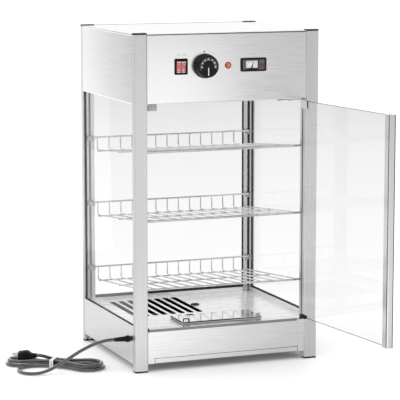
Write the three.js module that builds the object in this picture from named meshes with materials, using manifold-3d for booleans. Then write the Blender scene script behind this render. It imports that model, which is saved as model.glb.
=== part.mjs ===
// Heated display case for a shop counter: steel panels between four aluminium posts, glass on three sides,
// a swing door of plain glass, three tilted wire racks, a water tray and a tubular heater under the floor.
// Millimetres, +Z up, -Y is the front. The group's origin lies on the counter under the middle of the part
// without its cord, with the door open.
import * as THREE from "three";
import { mergeVertices } from "three/addons/utils/BufferGeometryUtils.js";
import Module from "manifold-3d";

const wasm = await Module();
wasm.setup();

// Overall sizes
const width = 356;
const depth = 305;
const height = 610;
const clearance = 0.3;
const overrun = 2;
const sheet = 1;
const bendRadius = 0.8;
const faceRecess = 1;
const bendSteps = 2;
const roundSteps = 20;
const smallSteps = 16;
const pinSteps = 12;
const knobSteps = 32;
const halfTurn = 180;
const quarterTurn = halfTurn / 2;
const fullTurn = 2 * halfTurn;
const degree = Math.PI / halfTurn;

// Posts, their end caps and feet
const postWidth = 24;
const postDepth = 12.5;
const postWall = 1.5;
const postBevel = 1.2;
const legReach = 12.5;
const legThickness = 3;
const capThickness = 2.5;
const capPlugLength = 10;
const footThickness = 2.5;
const teeInset = 9.65;
const teeMouth = 2.7;
const teeLip = 1.5;
const teeHead = 6;
const teeDepth = 6;

// Glass and its seals
const glassThickness = 4;
const glassInset = 3.5;
const glassBite = 4;
const grooveFloor = 1;
const glassLift = 1;
const glassRise = 6;
const sealWall = 1.5;
const sealReach = 8;

// Upper housing
const housingHeight = 126;
const topFlange = 15;
const underFlange = 26;
const controlsDrop = 60.7;

// Base
const baseBottom = 15;
const lipTop = 77;
const lipDepth = 24.5;
const lipDrop = 2.4;
const floorDrop = 2.5;
const upstandRise = 8.5;
const sidePanelRise = 7;
const bottomFlange = 14;
const notchSideMargin = 13;
const notchHeight = 9;
const ventLength = 60;
const ventWidth = 4;
const ventPitch = 14;
const ventCount = 5;
const ventRowShare = 0.618;
const ventMiddleInset = 80;

// Heater slots in the floor, and the probe grommet
const slotCount = 8;
const slotWidth = 7;
const slotPitch = 17.7;
const firstSlotInset = 53.8;
const slotSetback = 44;
const slotBackInset = 10;
const grommetAside = 14.5;
const grommetForward = 9.7;
const grommetBore = 4.5;
const grommetWall = 1.5;
const grommetRim = 3.5;
const grommetProud = 1.7;
const grommetSkirt = 3;

// Heater
const heaterTube = 4;
const heaterDrop = 29.5;
const heaterRowCount = 4;
const heaterLeftInset = 58;
const heaterRightReach = 4.3;
const heaterTailInset = 28;
const heaterFrontInset = 21;
const heaterBackInset = 11;
const heaterBend = 18;
const bracketSheet = 2;
const bracketOver = 6;
const bracketInset = 14;

// Water tray and its lid
const trayCentreX = 1.5;
const traySetback = 59.5;
const lidLength = 155;
const lidDepth = 64;
const lidHeight = 5;
const trayRim = 4;
const trayWall = 1;
const trayDepth = 30;
const trayCorner = 4;
const lidHoleInset = 33;
const lidHoleBack = 20;
const lidHoleLength = 16;
const lidHoleWidth = 9;
const lidRingWall = 1.5;
const lidRingHeight = 1.2;
const loopInset = 36;
const loopForward = 20;
const loopSpan = 18;
const loopRise = 8;
const loopWire = 1.2;
const tabInset = 7;
const tabWidth = 10;
const tabRise = 6;

// Door
const pivotInset = 3.8;
const pivotBehindFront = 5.5;
const openAngle = 96;
const doorGlass = 4;
const doorSideGap = 3.2;
const doorGlassLift = 2;
const doorGlassDrop = 3.5;
const handleWidth = 17;
const handleThickness = 12;
const handleBevel = 1;
const handleSlotDepth = 6.3;
const handleOver = 1;
const handleGrooveWidth = 1.4;
const handleGrooveDepth = 1.2;
const handleGrooveInset = 2.6;
const clampLength = 18;
const clampHeight = 14;
const clampWeb = 1.1;
const clampOuterLeaf = 0.7;
const clampInnerLeaf = 1.7;
const clampStart = -1;
const pinRadius = 2;
const bracketStrap = 1.4;
const bracketLength = 55;
const bracketReach = 12;
const catchWidth = 17;
const catchHeight = 12.7;
const catchDepth = 12;
const catchInset = 5;

// Racks and their rear clips
const rackHeadroom = 87.5;
const rackFootroom = 72;
const rackNames = ["rack_upper", "rack_middle", "rack_lower"];
const rackFrontInset = 9;
const rackBackInset = 10;
const rackDrop = 25;
const rackSideInset = 3;
const rackWireCount = 14;
const rackWire = 1.25;
const rackRail = 2;
const rackFenceRail = 1.6;
const rackBend = 5;
const fenceBend = 2.5;
const rackFrontCross = 13;
const rackMiddleShare = 0.525;
const weldDepth = 0.5;
const hookReach = 2.4;
const rackLift = 8;
const fenceEndAside = 5;
const fenceEndReach = 8.5;
const clipGap = 1.6;
const clipWidth = 12;
const clipReach = 7;
const clipBelow = 7;
const clipAbove = 1.5;

// Controls
const switchX = -89.7;
const switchWidth = 24.8;
const switchHeight = 28.7;
const switchProud = 2;
const switchLip = 2.2;
const switchDepth = 22;
const switchWall = 1.2;
const rockerSwing = 8;
const rockerProud = 2.2;
const rockerDip = 1;
const rockerHeel = 9;
const rockerHeelHalf = 5;
const rockerPivotDepth = 4;
const knobX = -43.9;
const knobRadius = 22;
const knobFaceRadius = 19.5;
const knobHeight = 17;
const knobGap = 0.8;
const knobSkirt = 3;
const knobEdge = 1.2;
const knobMark = 12;
const knobMarkWidth = 1.6;
const knobMarkDepth = 0.5;
const shaftRadius = 3;
const shaftLength = 13;
const shaftHoleGap = 1;
const thermostatWidth = 34;
const thermostatHeight = 30;
const thermostatDepth = 22;
const lampX = 0.5;
const lampRadius = 6;
const lampLens = 4.6;
const lampRim = 1.5;
const lampDome = 3.5;
const lampBarrel = 18;
const meterX = 49.5;
const meterWidth = 49.5;
const meterHeight = 24.5;
const meterProud = 3;
const meterFrame = 3.2;
const meterDish = 1.5;
const meterBodyDepth = 15;
const windowLeft = -14.7;
const windowRight = 8.8;
const windowBottom = -6.3;
const windowTop = 7;
const windowDepth = 2;
const needleLength = 9;
const needleHub = 1.4;
const needleWidth = 0.9;
const needleThickness = 0.6;
const needleLean = 20;

// Cord, its gland, tie and plug
const cordRadius = 3.1;
const cordSides = 8;
const glandSetback = 30;
const glandRise = 40.5;
const glandFlange = 6.2;
const glandFlangeLength = 2.5;
const glandSleeve = 5;
const glandNut = 8;
const glandNutLength = 5;
const glandTaper = 5;
const glandTip = 3.6;
const glandLength = 26;
const leadSteps = 60;
const leadFineSteps = 600;
const straightShare = 12;
const hankX = -297.4;
const hankY = -44.9;
const hankTurn = -35.9;
const lobeCentre = 65;
const lobeRadius = 19;
const waistHalf = 1.8;
const hankStep = 7.4;
const hankLayer = 6.9;
const hankLift = 1.6;
const hankStart = -8;
const hankMiddle = 540;
const hankEnd = 904;
const hankSteps = 74;
const gapSamples = 8;
const tailRun = 28;
const tailRise = 2;
const tailSteps = 16;
const tieWidth = 7;
const tieThickness = 0.9;
const plugStart = 34;
const plugAcross = 1;
const plugHeight = 18.6;
const plugTilt = 9;
const plugBody = 12;
const plugBodyLength = 21;
const plugNeck = 4.2;
const plugNeckFlare = 1;
const plugNeckShare = 0.6;
const plugShoulderShare = 0.66;
const plugNeckLength = 12;
const bladeGap = 12.7;
const bladeWidth = 6.3;
const bladeThickness = 1.5;
const bladeLength = 14;
const earthRadius = 2.4;
const earthLength = 14;
const earthDrop = 7.5;

// Places worked out from the sizes above
const halfWidth = width / 2;
const halfDepth = depth / 2;
const innerX = halfWidth - postWidth;
const betweenX = innerX - clearance;
const blockY = halfDepth - postDepth;
const betweenY = blockY - clearance;
const frontY = -halfDepth + faceRecess;
const legBackY = -blockY + legReach;
const postBottom = footThickness + clearance;
const postTop = height - capThickness - clearance;
const glassOuter = halfWidth - glassInset;
const glassInner = glassOuter - glassThickness;
const backGlassOuter = halfDepth - glassInset;
const backGlassInner = backGlassOuter - glassThickness;
const roofBottom = postTop + clearance;
const roofTop = roofBottom + sheet;
const housingTop = roofBottom - clearance;
const housingBottom = height - housingHeight;
const controlsHeight = height - controlsDrop;
const glassBottom = lipTop + glassLift;
const glassTop = housingBottom + glassRise;
const sealTop = glassBottom + sealReach;
const floorTop = lipTop - floorDrop;
const upstandTop = floorTop + upstandRise;
const sidePanelTop = lipTop + sidePanelRise;
const ceilingBottom = housingBottom + sheet + clearance;
const ceilingTop = ceilingBottom + sheet;
const sealInner = glassInner - clearance - sealWall;
const floorHalfWidth = sealInner - clearance;
const floorBackY = backGlassInner - sealWall - clearance - clearance;
const floorBottom = floorTop - sheet;
const lipBackY = frontY + lipDepth;
const coverTop = baseBottom + sheet;
const sidePanelBottom = baseBottom - sheet - clearance;
const rimBottom = floorTop + clearance;
const rimTop = rimBottom + trayWall;
const lidBottom = rimTop + clearance;
const lidTop = lidBottom + lidHeight;
const trayCentreY = frontY + traySetback;
const lidLeft = trayCentreX - lidLength / 2;
const lidHoleX = lidLeft + lidHoleInset;
const lidHoleY = trayCentreY + lidHoleBack;
const loopX = lidLeft + loopInset;
const loopY = trayCentreY - loopForward;
const tabX = lidLeft + lidLength - tabInset;
const ventRowX = betweenX * ventRowShare;
const ventMiddleY = blockY - ventMiddleInset;
const slotFrontY = trayCentreY + lidDepth / 2 + slotSetback;
const slotBackY = blockY - slotBackInset;
const firstSlotX = firstSlotInset - halfWidth;
const lastSlotX = firstSlotX + (slotCount - 1) * slotPitch;
const grommetX = lastSlotX + grommetAside;
const grommetY = (slotFrontY + slotBackY) / 2 - grommetForward;
const heaterHeight = floorTop - heaterDrop;
const heaterLeftX = heaterLeftInset - halfWidth;
const heaterRightX = lastSlotX + heaterRightReach;
const heaterTailX = heaterTailInset - halfWidth;
const heaterFrontY = slotFrontY + heaterFrontInset;
const heaterRowPitch = (slotBackY - heaterBackInset - heaterFrontY) / (heaterRowCount - 1);
const pivotX = innerX - pivotInset;
const pivotY = -halfDepth + pivotBehindFront;
const handleEnd = pivotX + innerX - doorSideGap;
const doorGlassLength = handleEnd - handleWidth + handleSlotDepth - clearance;
const doorGlassBottom = lipTop + doorGlassLift;
const doorGlassTop = housingBottom - doorGlassDrop;
const handleBottom = doorGlassBottom - handleOver;
const handleTop = doorGlassTop + handleOver;
const rackTop = housingBottom - rackHeadroom;
const rackPitch = (rackTop - rackFootroom - floorTop) / (rackNames.length - 1);
const rackFrontY = rackFrontInset - blockY;
const rackBackY = blockY - rackBackInset;
const rackHalfSpan = innerX - rackSideInset;
const rackFrontCrossY = rackFrontY + rackFrontCross;
const rackMiddleCrossY = rackFrontY + rackMiddleShare * (rackBackY - rackFrontY);
const fenceEndX = innerX + fenceEndAside;
const clipNearX = innerX + clipGap;
const clipFarX = clipNearX + clipWidth;
const glandY = glandSetback - blockY;
const glandZ = baseBottom + glandRise;

// Finishes
const finish = (color, roughness, metalness, opacity = 1) =>
  new THREE.MeshStandardMaterial({ color, roughness, metalness, opacity, transparent: opacity < 1 });
const brushedSteel = finish(0xc9cbcc, 0.35, 0.9);
const polishedSteel = finish(0xd4d6d8, 0.15, 1);
const aluminium = finish(0xbfc1c3, 0.4, 0.8);
const blackPlastic = finish(0x1c1c1e, 0.5, 0);
const blackRubber = finish(0x151515, 0.8, 0);
const clearGlass = finish(0xe8f2ee, 0.05, 0, 0.25);
const brightWire = finish(0xc4c6c8, 0.25, 1);
const redLens = finish(0xd0353a, 0.3, 0);
const amberLens = finish(0xd8621a, 0.3, 0);
const whitePlastic = finish(0xe6e6e2, 0.5, 0);
const heaterSheath = finish(0x6c6f70, 0.5, 0.8);
const cordSheath = finish(0x3a3b3d, 0.6, 0);

// Solids from geometries, and geometries from solids
function solid(geometry) {
  const bare = geometry.clone();
  bare.deleteAttribute("normal");
  bare.deleteAttribute("uv");
  const merged = mergeVertices(bare, 1e-4);
  const triVerts = new Uint32Array(merged.index.array);
  const vertProperties = merged.getAttribute("position").array;
  return new wasm.Manifold(new wasm.Mesh({ numProp: 3, vertProperties, triVerts }));
}

function join(...geometries) {
  return geometries.map(solid).reduce((whole, piece) => whole.add(piece));
}

function cut(whole, ...cutters) {
  const start = whole instanceof THREE.BufferGeometry ? solid(whole) : whole;
  return cutters.reduce((rest, cutter) => rest.subtract(solid(cutter)), start);
}

function geometryOf(body) {
  const mesh = body.getMesh();
  const geometry = new THREE.BufferGeometry();
  geometry.setAttribute("position", new THREE.BufferAttribute(mesh.vertProperties, 3));
  geometry.setIndex(new THREE.BufferAttribute(mesh.triVerts, 1));
  return geometry;
}

const caseGroup = new THREE.Group();

// Adds a named piece; side -1 is the mirror image of a piece that was made for the right-hand side
function add(name, shape, material, side = 1, group = caseGroup) {
  const geometry = shape instanceof THREE.BufferGeometry ? shape : geometryOf(shape);
  geometry.deleteAttribute("uv");
  geometry.computeVertexNormals();
  const mesh = new THREE.Mesh(geometry, material.clone());
  mesh.name = name;
  mesh.scale.x = side;
  group.add(mesh);
  return mesh;
}

// Outlines
const outline = (points) => new THREE.Shape(points.map(([x, y]) => new THREE.Vector2(x, y)));

function rectangle([x0, x1], [y0, y1], corner = 0) {
  const shape = new THREE.Shape();
  if (corner === 0) {
    return outline([[x0, y0], [x1, y0], [x1, y1], [x0, y1]]);
  }
  const quarter = Math.PI / 2;
  shape.absarc(x1 - corner, y0 + corner, corner, -quarter, 0);
  shape.absarc(x1 - corner, y1 - corner, corner, 0, quarter);
  shape.absarc(x0 + corner, y1 - corner, corner, quarter, Math.PI);
  shape.absarc(x0 + corner, y0 + corner, corner, Math.PI, Math.PI + quarter);
  shape.closePath();
  return shape;
}

// The section of a folded sheet: the corners follow one face, and the sheet lies to their left
function foldedSheet(corners, thickness = sheet, bend = bendRadius) {
  const line = corners.map(([x, y]) => new THREE.Vector2(x, y));
  const near = [];
  const far = [];
  line.forEach((corner, i) => {
    const before = i > 0 ? corner.clone().sub(line[i - 1]).normalize() : null;
    const after = i < line.length - 1 ? line[i + 1].clone().sub(corner).normalize() : null;
    const run = before || after;
    const left = new THREE.Vector2(-run.y, run.x);
    if (!before || !after) {
      near.push(corner);
      far.push(corner.clone().addScaledVector(left, thickness));
      return;
    }
    const turn = Math.atan2(before.cross(after), before.dot(after));
    const hand = Math.sign(turn);
    const nearRadius = hand > 0 ? bend + thickness : bend;
    const farRadius = hand > 0 ? bend : bend + thickness;
    const reach = nearRadius * Math.tan(Math.abs(turn) / 2);
    const centre = corner.clone().addScaledVector(before, -reach).addScaledVector(left, hand * nearRadius);
    const spoke = left.clone().multiplyScalar(-hand);
    for (let k = 0; k <= bendSteps; k++) {
      const arm = spoke.clone().rotateAround(new THREE.Vector2(), (turn * k) / bendSteps);
      near.push(centre.clone().addScaledVector(arm, nearRadius));
      far.push(centre.clone().addScaledVector(arm, farRadius));
    }
  });
  return new THREE.Shape([...near, ...far.reverse()]);
}

// Extrusions along the three axes; a shape's x and y stand for the two other axes in their own order
const cornerSteps = 3;

function alongZ(shape, [z0, z1]) {
  const options = { depth: z1 - z0, bevelEnabled: false, curveSegments: cornerSteps };
  return new THREE.ExtrudeGeometry(shape, options).translate(0, 0, z0);
}

function alongX(shape, [x0, x1]) {
  const turn = new THREE.Matrix4().makeBasis(
    new THREE.Vector3(0, 1, 0),
    new THREE.Vector3(0, 0, 1),
    new THREE.Vector3(1, 0, 0),
  );
  return alongZ(shape, [0, x1 - x0]).applyMatrix4(turn).translate(x0, 0, 0);
}

function alongY(shape, [y0, y1]) {
  return alongZ(shape, [0, y1 - y0]).rotateX(Math.PI / 2).translate(0, y1, 0);
}

const block = (xs, ys, zs) => alongZ(rectangle(xs, ys), zs);
const about = (middle, span) => [middle - span / 2, middle + span / 2];

// A turned piece on an axis through a point: the profile's x is its radius and y its place along the axis
const axisTurns = {
  z: new THREE.Euler(Math.PI / 2, 0, 0),
  front: new THREE.Euler(Math.PI, 0, 0),
  left: new THREE.Euler(0, 0, Math.PI / 2),
};

function turned(profile, axis, [x, y, z], steps = roundSteps) {
  const points = profile.map(([radius, along]) => new THREE.Vector2(radius, along));
  const geometry = new THREE.LatheGeometry(points, steps);
  geometry.applyMatrix4(new THREE.Matrix4().makeRotationFromEuler(axisTurns[axis]));
  return geometry.translate(x, y, z);
}

const rodProfile = (radius, from, to) => [[0, from], [radius, from], [radius, to], [0, to]];
const rod = (radius, axis, place, [from, to], steps) =>
  turned(rodProfile(radius, from, to), axis, place, steps);

// A wire bent round the corners of its path, with rings only at its ends and through its bends
class BentWire extends THREE.Curve {
  constructor(corners, bend) {
    super();
    const line = corners.map((corner) => new THREE.Vector3(...corner));
    this.stations = [];
    line.forEach((corner, i) => {
      const before = i > 0 ? corner.clone().sub(line[i - 1]).normalize() : null;
      const after = i < line.length - 1 ? line[i + 1].clone().sub(corner).normalize() : null;
      if (!before || !after) {
        this.stations.push({ point: corner, tangent: before || after });
        return;
      }
      const turn = before.angleTo(after);
      const axis = before.clone().cross(after).normalize();
      const inward = axis.clone().cross(before);
      const start = corner.clone().addScaledVector(before, -bend * Math.tan(turn / 2));
      const centre = start.clone().addScaledVector(inward, bend);
      for (let k = 0; k <= cornerSteps; k++) {
        const angle = (turn * k) / cornerSteps;
        const arm = inward.clone().multiplyScalar(-bend).applyAxisAngle(axis, angle);
        const tangent = before.clone().applyAxisAngle(axis, angle);
        this.stations.push({ point: centre.clone().add(arm), tangent });
      }
    });
  }
  get steps() {
    return this.stations.length - 1;
  }
  station(share) {
    return this.stations[Math.round(share * this.steps)];
  }
  getPointAt(share, target = new THREE.Vector3()) {
    return target.copy(this.station(share).point);
  }
  getTangentAt(share, target = new THREE.Vector3()) {
    return target.copy(this.station(share).tangent);
  }
}

function ring(radius, sides) {
  const points = [];
  for (let k = 0; k < sides; k++) {
    const angle = ((k + 0.5) / sides) * 2 * Math.PI;
    points.push([radius * Math.cos(angle), radius * Math.sin(angle)]);
  }
  return outline(points);
}

function tube(path, steps, radius, sides) {
  return new THREE.ExtrudeGeometry(ring(radius, sides), { steps, extrudePath: path });
}

const wireSides = 6;
function wire(corners, radius, bend = rackBend, sides = wireSides) {
  const path = new BentWire(corners, bend);
  return tube(path, path.steps, radius, sides);
}

// Posts: hollow aluminium sections with bevelled corners, slotted for the glass; the front pair carry a leg
// that runs back along the door opening, and the rear pair a tee slot for the rack clips
function postOutline(front) {
  const grooveIn = postWidth - glassInset - glassThickness - clearance;
  const grooveOut = postWidth - glassInset + clearance;
  const grooveTop = postDepth - glassBite - grooveFloor;
  const corner = postBevel;
  const street = [[0, corner], [corner, 0], [postWidth - corner, 0], [postWidth, corner]];
  const sideGroove = [
    [postWidth, postDepth], [grooveOut, postDepth], [grooveOut, grooveTop], [grooveIn, grooveTop],
    [grooveIn, postDepth],
  ];
  if (front) {
    const leg = [[legThickness, postDepth], [legThickness, postDepth + legReach], [0, postDepth + legReach]];
    return [...street, ...sideGroove, ...leg];
  }
  const lip = postDepth - teeLip;
  const teeFloor = postDepth - teeDepth;
  const mouth = about(teeInset, teeMouth);
  const head = about(teeInset, teeHead);
  const tee = [
    [mouth[1], postDepth], [mouth[1], lip], [head[1], lip], [head[1], teeFloor],
    [head[0], teeFloor], [head[0], lip], [mouth[0], lip], [mouth[0], postDepth],
  ];
  const backGroove = [
    [0, postDepth], [0, glassInset + glassThickness + clearance],
    [glassBite + grooveFloor, glassInset + glassThickness + clearance],
    [glassBite + grooveFloor, glassInset - clearance], [0, glassInset - clearance],
  ];
  return [...street, ...sideGroove, ...tee, ...backGroove];
}

// The hollow of a post, as spans from its inner side face and from its street face
function postHollow(front) {
  const grooveIn = postWidth - glassInset - glassThickness - clearance;
  if (front) {
    return { u: [postWall, grooveIn - postWall], v: [postWall, postDepth - postWall] };
  }
  const u = [glassBite + grooveFloor + postWall, postWidth - postWall];
  return { u, v: [postWall, postDepth - teeDepth - postWall] };
}

// Turns spans that are measured from a post's inner and street faces into spans of the case
const postX = (us) => us.map((u) => innerX + u);
const postY = (vs, front) => (front ? vs.map((v) => v - halfDepth) : vs.map((v) => halfDepth - v).reverse());

function postBody(front) {
  const shape = outline(postOutline(front).map(([u, v]) => [postX([u])[0], postY([v], front)[0]]));
  const hollow = postHollow(front);
  shape.holes.push(rectangle(postX(hollow.u), postY(hollow.v, front)));
  const body = alongZ(shape, [postBottom, postTop]);
  if (!front) {
    return body;
  }
  const hookY = about(rackFrontY, 2 * (rackRail + clearance));
  const hookSlots = rackNames.map((name, i) => {
    const railZ = rackTop - i * rackPitch;
    const zs = [railZ - rackRail - clearance, railZ + rackRail + rackLift + 2 * clearance];
    return block([innerX - overrun, innerX + legThickness + overrun], hookY, zs);
  });
  return cut(body, ...hookSlots);
}

// A cap on the top of a post, or a foot under it: a bevelled plate with a plug in the hollow
function postEnd(front, top) {
  const plate = [
    [0, postBevel], [postBevel, 0], [postWidth - postBevel, 0], [postWidth, postBevel],
    [postWidth, postDepth], [0, postDepth],
  ].map(([u, v]) => [postX([u])[0], postY([v], front)[0]]);
  const hollow = postHollow(front);
  const shrink = ([from, to]) => [from + clearance, to - clearance];
  const plug = rectangle(postX(shrink(hollow.u)), postY(shrink(hollow.v), front));
  const zs = top ? [height - capThickness, height] : [0, footThickness];
  const plugZs = top
    ? [zs[0] - capPlugLength, height - capThickness / 2]
    : [footThickness / 2, zs[1] + capPlugLength];
  return join(alongZ(outline(plate), zs), alongZ(plug, plugZs));
}

const sides = [["left", -1], ["right", 1]];
const ends = [["front", true], ["back", false]];

for (const [end, front] of ends) {
  for (const [side, hand] of sides) {
    add(`post_${end}_${side}`, postBody(front), aluminium, hand);
    add(`cap_${end}_${side}`, postEnd(front, true), blackPlastic, hand);
    add(`foot_${end}_${side}`, postEnd(front, false), blackPlastic, hand);
  }
}

// Upper housing: the panel with the controls, two sides, a roof that folds down the back, and the ceiling
const switchHole = (grow) => [
  about(switchX, switchWidth - 2 * switchLip + 2 * grow),
  about(controlsHeight, switchHeight - 2 * switchLip + 2 * grow),
];
const meterHole = (grow) => [
  about(meterX, meterWidth - 2 * meterFrame + 2 * grow),
  about(controlsHeight, meterHeight - 2 * meterFrame + 2 * grow),
];
const throughFront = [frontY - overrun, frontY + sheet + overrun];

function controlPanel() {
  const section = foldedSheet([
    [frontY + topFlange, housingTop], [frontY, housingTop],
    [frontY, housingBottom], [frontY + underFlange, housingBottom],
  ]);
  const reach = throughFront.map((y) => -y);
  const bore = (x, radius) => rod(radius, "front", [x, 0, controlsHeight], [reach[1], reach[0]]);
  const [switchXs, switchZs] = switchHole(clearance);
  const [meterXs, meterZs] = meterHole(clearance);
  return cut(
    alongX(section, [-betweenX, betweenX]),
    block(switchXs, throughFront, switchZs),
    block(meterXs, throughFront, meterZs),
    bore(knobX, shaftRadius + shaftHoleGap),
    bore(lampX, lampLens + clearance),
  );
}

function upperSidePanel() {
  const section = foldedSheet([
    [glassOuter + clearance, housingBottom], [halfWidth, housingBottom],
    [halfWidth, housingTop], [halfWidth - topFlange, housingTop],
  ]);
  return alongY(section, [-betweenY, betweenY]);
}

function roofPanel() {
  const section = foldedSheet([
    [backGlassOuter + clearance, housingBottom], [halfDepth, housingBottom],
    [halfDepth, roofTop], [frontY, roofTop],
  ]);
  const wings = block([-halfWidth, halfWidth], [-betweenY, betweenY], [roofBottom, roofTop]);
  return join(alongX(section, [-betweenX, betweenX]), wings);
}

// A plate between the posts, cut round the front legs and the rear posts
function notchedPlate(halfX, y0, y1) {
  const notchFront = legBackY + clearance;
  const right = [
    [betweenX, y0], [betweenX, notchFront], [halfX, notchFront],
    [halfX, betweenY], [betweenX, betweenY], [betweenX, y1],
  ];
  const left = right.map(([x, y]) => [-x, y]).reverse();
  return outline([...right, ...left]);
}

function ceilingPlate() {
  const shape = notchedPlate(glassInner - clearance, frontY + sheet + clearance, backGlassInner - clearance);
  return alongZ(shape, [ceilingBottom, ceilingTop]);
}

add("control_panel", controlPanel(), brushedSteel);
add("roof_panel", roofPanel(), brushedSteel);
add("ceiling_plate", ceilingPlate(), brushedSteel);
for (const [side, hand] of sides) {
  add(`upper_${side}_panel`, upperSidePanel(), brushedSteel, hand);
}

// Glass panes in the grooves of the posts, each on a channel seal
const glassZs = [glassBottom, glassTop];
const sideGlass = () => block([glassInner, glassOuter], [-blockY - glassBite, blockY + glassBite], glassZs);
const backGlass = () =>
  block([-innerX - glassBite, innerX + glassBite], [backGlassInner, backGlassOuter], glassZs);

function sealSection(inner, outer) {
  const slotIn = inner - clearance;
  const slotOut = outer + clearance;
  const slotBottom = glassBottom - clearance;
  return outline([
    [slotIn - sealWall, slotBottom - sealWall], [slotOut + sealWall, slotBottom - sealWall],
    [slotOut + sealWall, sealTop], [slotOut, sealTop], [slotOut, slotBottom],
    [slotIn, slotBottom], [slotIn, sealTop], [slotIn - sealWall, sealTop],
  ]);
}

for (const [side, hand] of sides) {
  add(`glass_${side}`, sideGlass(), clearGlass, hand);
  add(`seal_${side}`, alongY(sealSection(glassInner, glassOuter), [-betweenY, betweenY]), blackRubber, hand);
}
add("glass_back", backGlass(), clearGlass);
add("seal_back", alongX(sealSection(backGlassInner, backGlassOuter), [-betweenX, betweenX]), blackRubber);

// Base: a front panel whose top folds back as the door's lip, side panels, and a cover that closes the
// bottom and turns up as the back
const notchXs = [-betweenX + notchSideMargin, betweenX - notchSideMargin];

function baseFrontPanel() {
  const section = foldedSheet([
    [lipBackY, lipTop - lipDrop], [lipBackY, lipTop], [frontY, lipTop], [frontY, baseBottom],
  ]);
  const notch = block(notchXs, throughFront, [baseBottom - overrun, baseBottom + notchHeight]);
  const pinZs = [lipTop - sheet - overrun, lipTop + overrun];
  const pinHole = rod(pinRadius + clearance, "z", [pivotX, pivotY, 0], pinZs, pinSteps);
  return cut(alongX(section, [-betweenX, betweenX]), notch, pinHole);
}

function baseSidePanel(hand) {
  const section = foldedSheet([
    [halfWidth - bottomFlange, sidePanelBottom], [halfWidth, sidePanelBottom], [halfWidth, sidePanelTop],
  ]);
  const body = alongY(section, [-betweenY, betweenY]);
  if (hand > 0) {
    return body;
  }
  const reach = [-halfWidth - overrun, -halfWidth + sheet + overrun];
  return cut(body, rod(glandSleeve + clearance, "left", [0, glandY, glandZ], reach, smallSteps));
}

function bottomCover() {
  const turnedUp = [[halfDepth, baseBottom], [halfDepth, sidePanelTop]];
  const flangeTop = baseBottom + notchHeight - clearance;
  const front = foldedSheet([[frontY, flangeTop], [frontY, baseBottom], ...turnedUp]);
  const plain = foldedSheet([[frontY + sheet + clearance, baseBottom], ...turnedUp]);
  const xs = [notchXs[0] + clearance, notchXs[1] - clearance];
  const wingX = halfWidth - sheet - clearance;
  const wings = block([-wingX, wingX], [legBackY + clearance, betweenY], [baseBottom, coverTop]);
  const ventZs = [baseBottom - overrun, coverTop + overrun];
  const vents = [];
  for (const x of [-ventRowX, 0, ventRowX]) {
    for (let k = 0; k < ventCount; k++) {
      const y = ventMiddleY + (k - (ventCount - 1) / 2) * ventPitch;
      vents.push(block(about(x, ventLength), about(y, ventWidth), ventZs));
    }
  }
  return cut(join(alongX(front, xs), alongX(plain, [-betweenX, betweenX]), wings), ...vents);
}

// Floor of the heated space: slotted over the heater, open for the water tray, turned up along three sides
const panXs = about(trayCentreX, lidLength - trayRim);
const panYs = about(trayCentreY, lidDepth - trayRim);
const grown = ([from, to], by) => [from - by, to + by];

function floorPlate() {
  const shape = notchedPlate(floorHalfWidth, frontY + sheet + clearance, floorBackY);
  const opening = rectangle(grown(panXs, 2 * clearance), grown(panYs, 2 * clearance), trayCorner);
  shape.holes.push(opening);
  const throughFloor = [floorBottom - overrun, floorTop + overrun];
  const slots = [];
  for (let k = 0; k < slotCount; k++) {
    slots.push(block(about(firstSlotX + k * slotPitch, slotWidth), [slotFrontY, slotBackY], throughFloor));
  }
  const grommetHole = rod(
    grommetBore + grommetWall + clearance, "z", [grommetX, grommetY, 0], throughFloor, smallSteps,
  );
  const upstandZs = [floorBottom, upstandTop];
  const sideYs = [legBackY + clearance, betweenY];
  const whole = join(
    alongZ(shape, [floorBottom, floorTop]),
    block([floorHalfWidth - sheet, floorHalfWidth], sideYs, upstandZs),
    block([-floorHalfWidth, sheet - floorHalfWidth], sideYs, upstandZs),
    block([-betweenX, betweenX], [floorBackY - sheet, floorBackY], upstandZs),
  );
  return cut(whole, ...slots, grommetHole);
}

function probeGrommet() {
  const collar = floorTop + clearance;
  const sleeve = grommetBore + grommetWall;
  const rim = grommetBore + grommetRim;
  const profile = [
    [grommetBore, floorTop - grommetSkirt], [sleeve, floorTop - grommetSkirt], [sleeve, collar],
    [rim, collar], [rim, collar + grommetProud], [grommetBore, collar + grommetProud],
    [grommetBore, floorTop - grommetSkirt],
  ];
  return turned(profile, "z", [grommetX, grommetY, 0], smallSteps);
}

// Heater: one sheathed tube laid in rows under the slots, through two brackets that stand on the cover
function heaterElement() {
  const rows = [0, 1, 2, 3].map((k) => heaterFrontY + k * heaterRowPitch);
  const z = heaterHeight;
  const path = [
    [heaterTailX, rows[0], z], [heaterRightX, rows[0], z], [heaterRightX, rows[1], z],
    [heaterLeftX, rows[1], z], [heaterLeftX, rows[2], z], [heaterRightX, rows[2], z],
    [heaterRightX, rows[3], z], [heaterTailX, rows[3], z],
  ];
  const bracketYs = [rows[0] - 2 * heaterTube, rows[3] + 2 * heaterTube];
  const bracketZs = [coverTop + clearance, heaterHeight + bracketOver];
  const bracket = (x) => block(about(x, bracketSheet), bracketYs, bracketZs);
  return join(
    wire(path, heaterTube, heaterBend, cordSides),
    bracket(heaterTailX + bracketInset),
    bracket(heaterRightX - heaterBend - bracketInset),
  );
}

add("base_front_panel", baseFrontPanel(), brushedSteel);
add("base_left_panel", baseSidePanel(-1), brushedSteel, -1);
add("base_right_panel", baseSidePanel(1), brushedSteel);
add("bottom_cover", bottomCover(), brushedSteel);
add("floor_plate", floorPlate(), polishedSteel);
add("probe_grommet", probeGrommet(), blackRubber);
add("heater_element", heaterElement(), heaterSheath);

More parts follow.
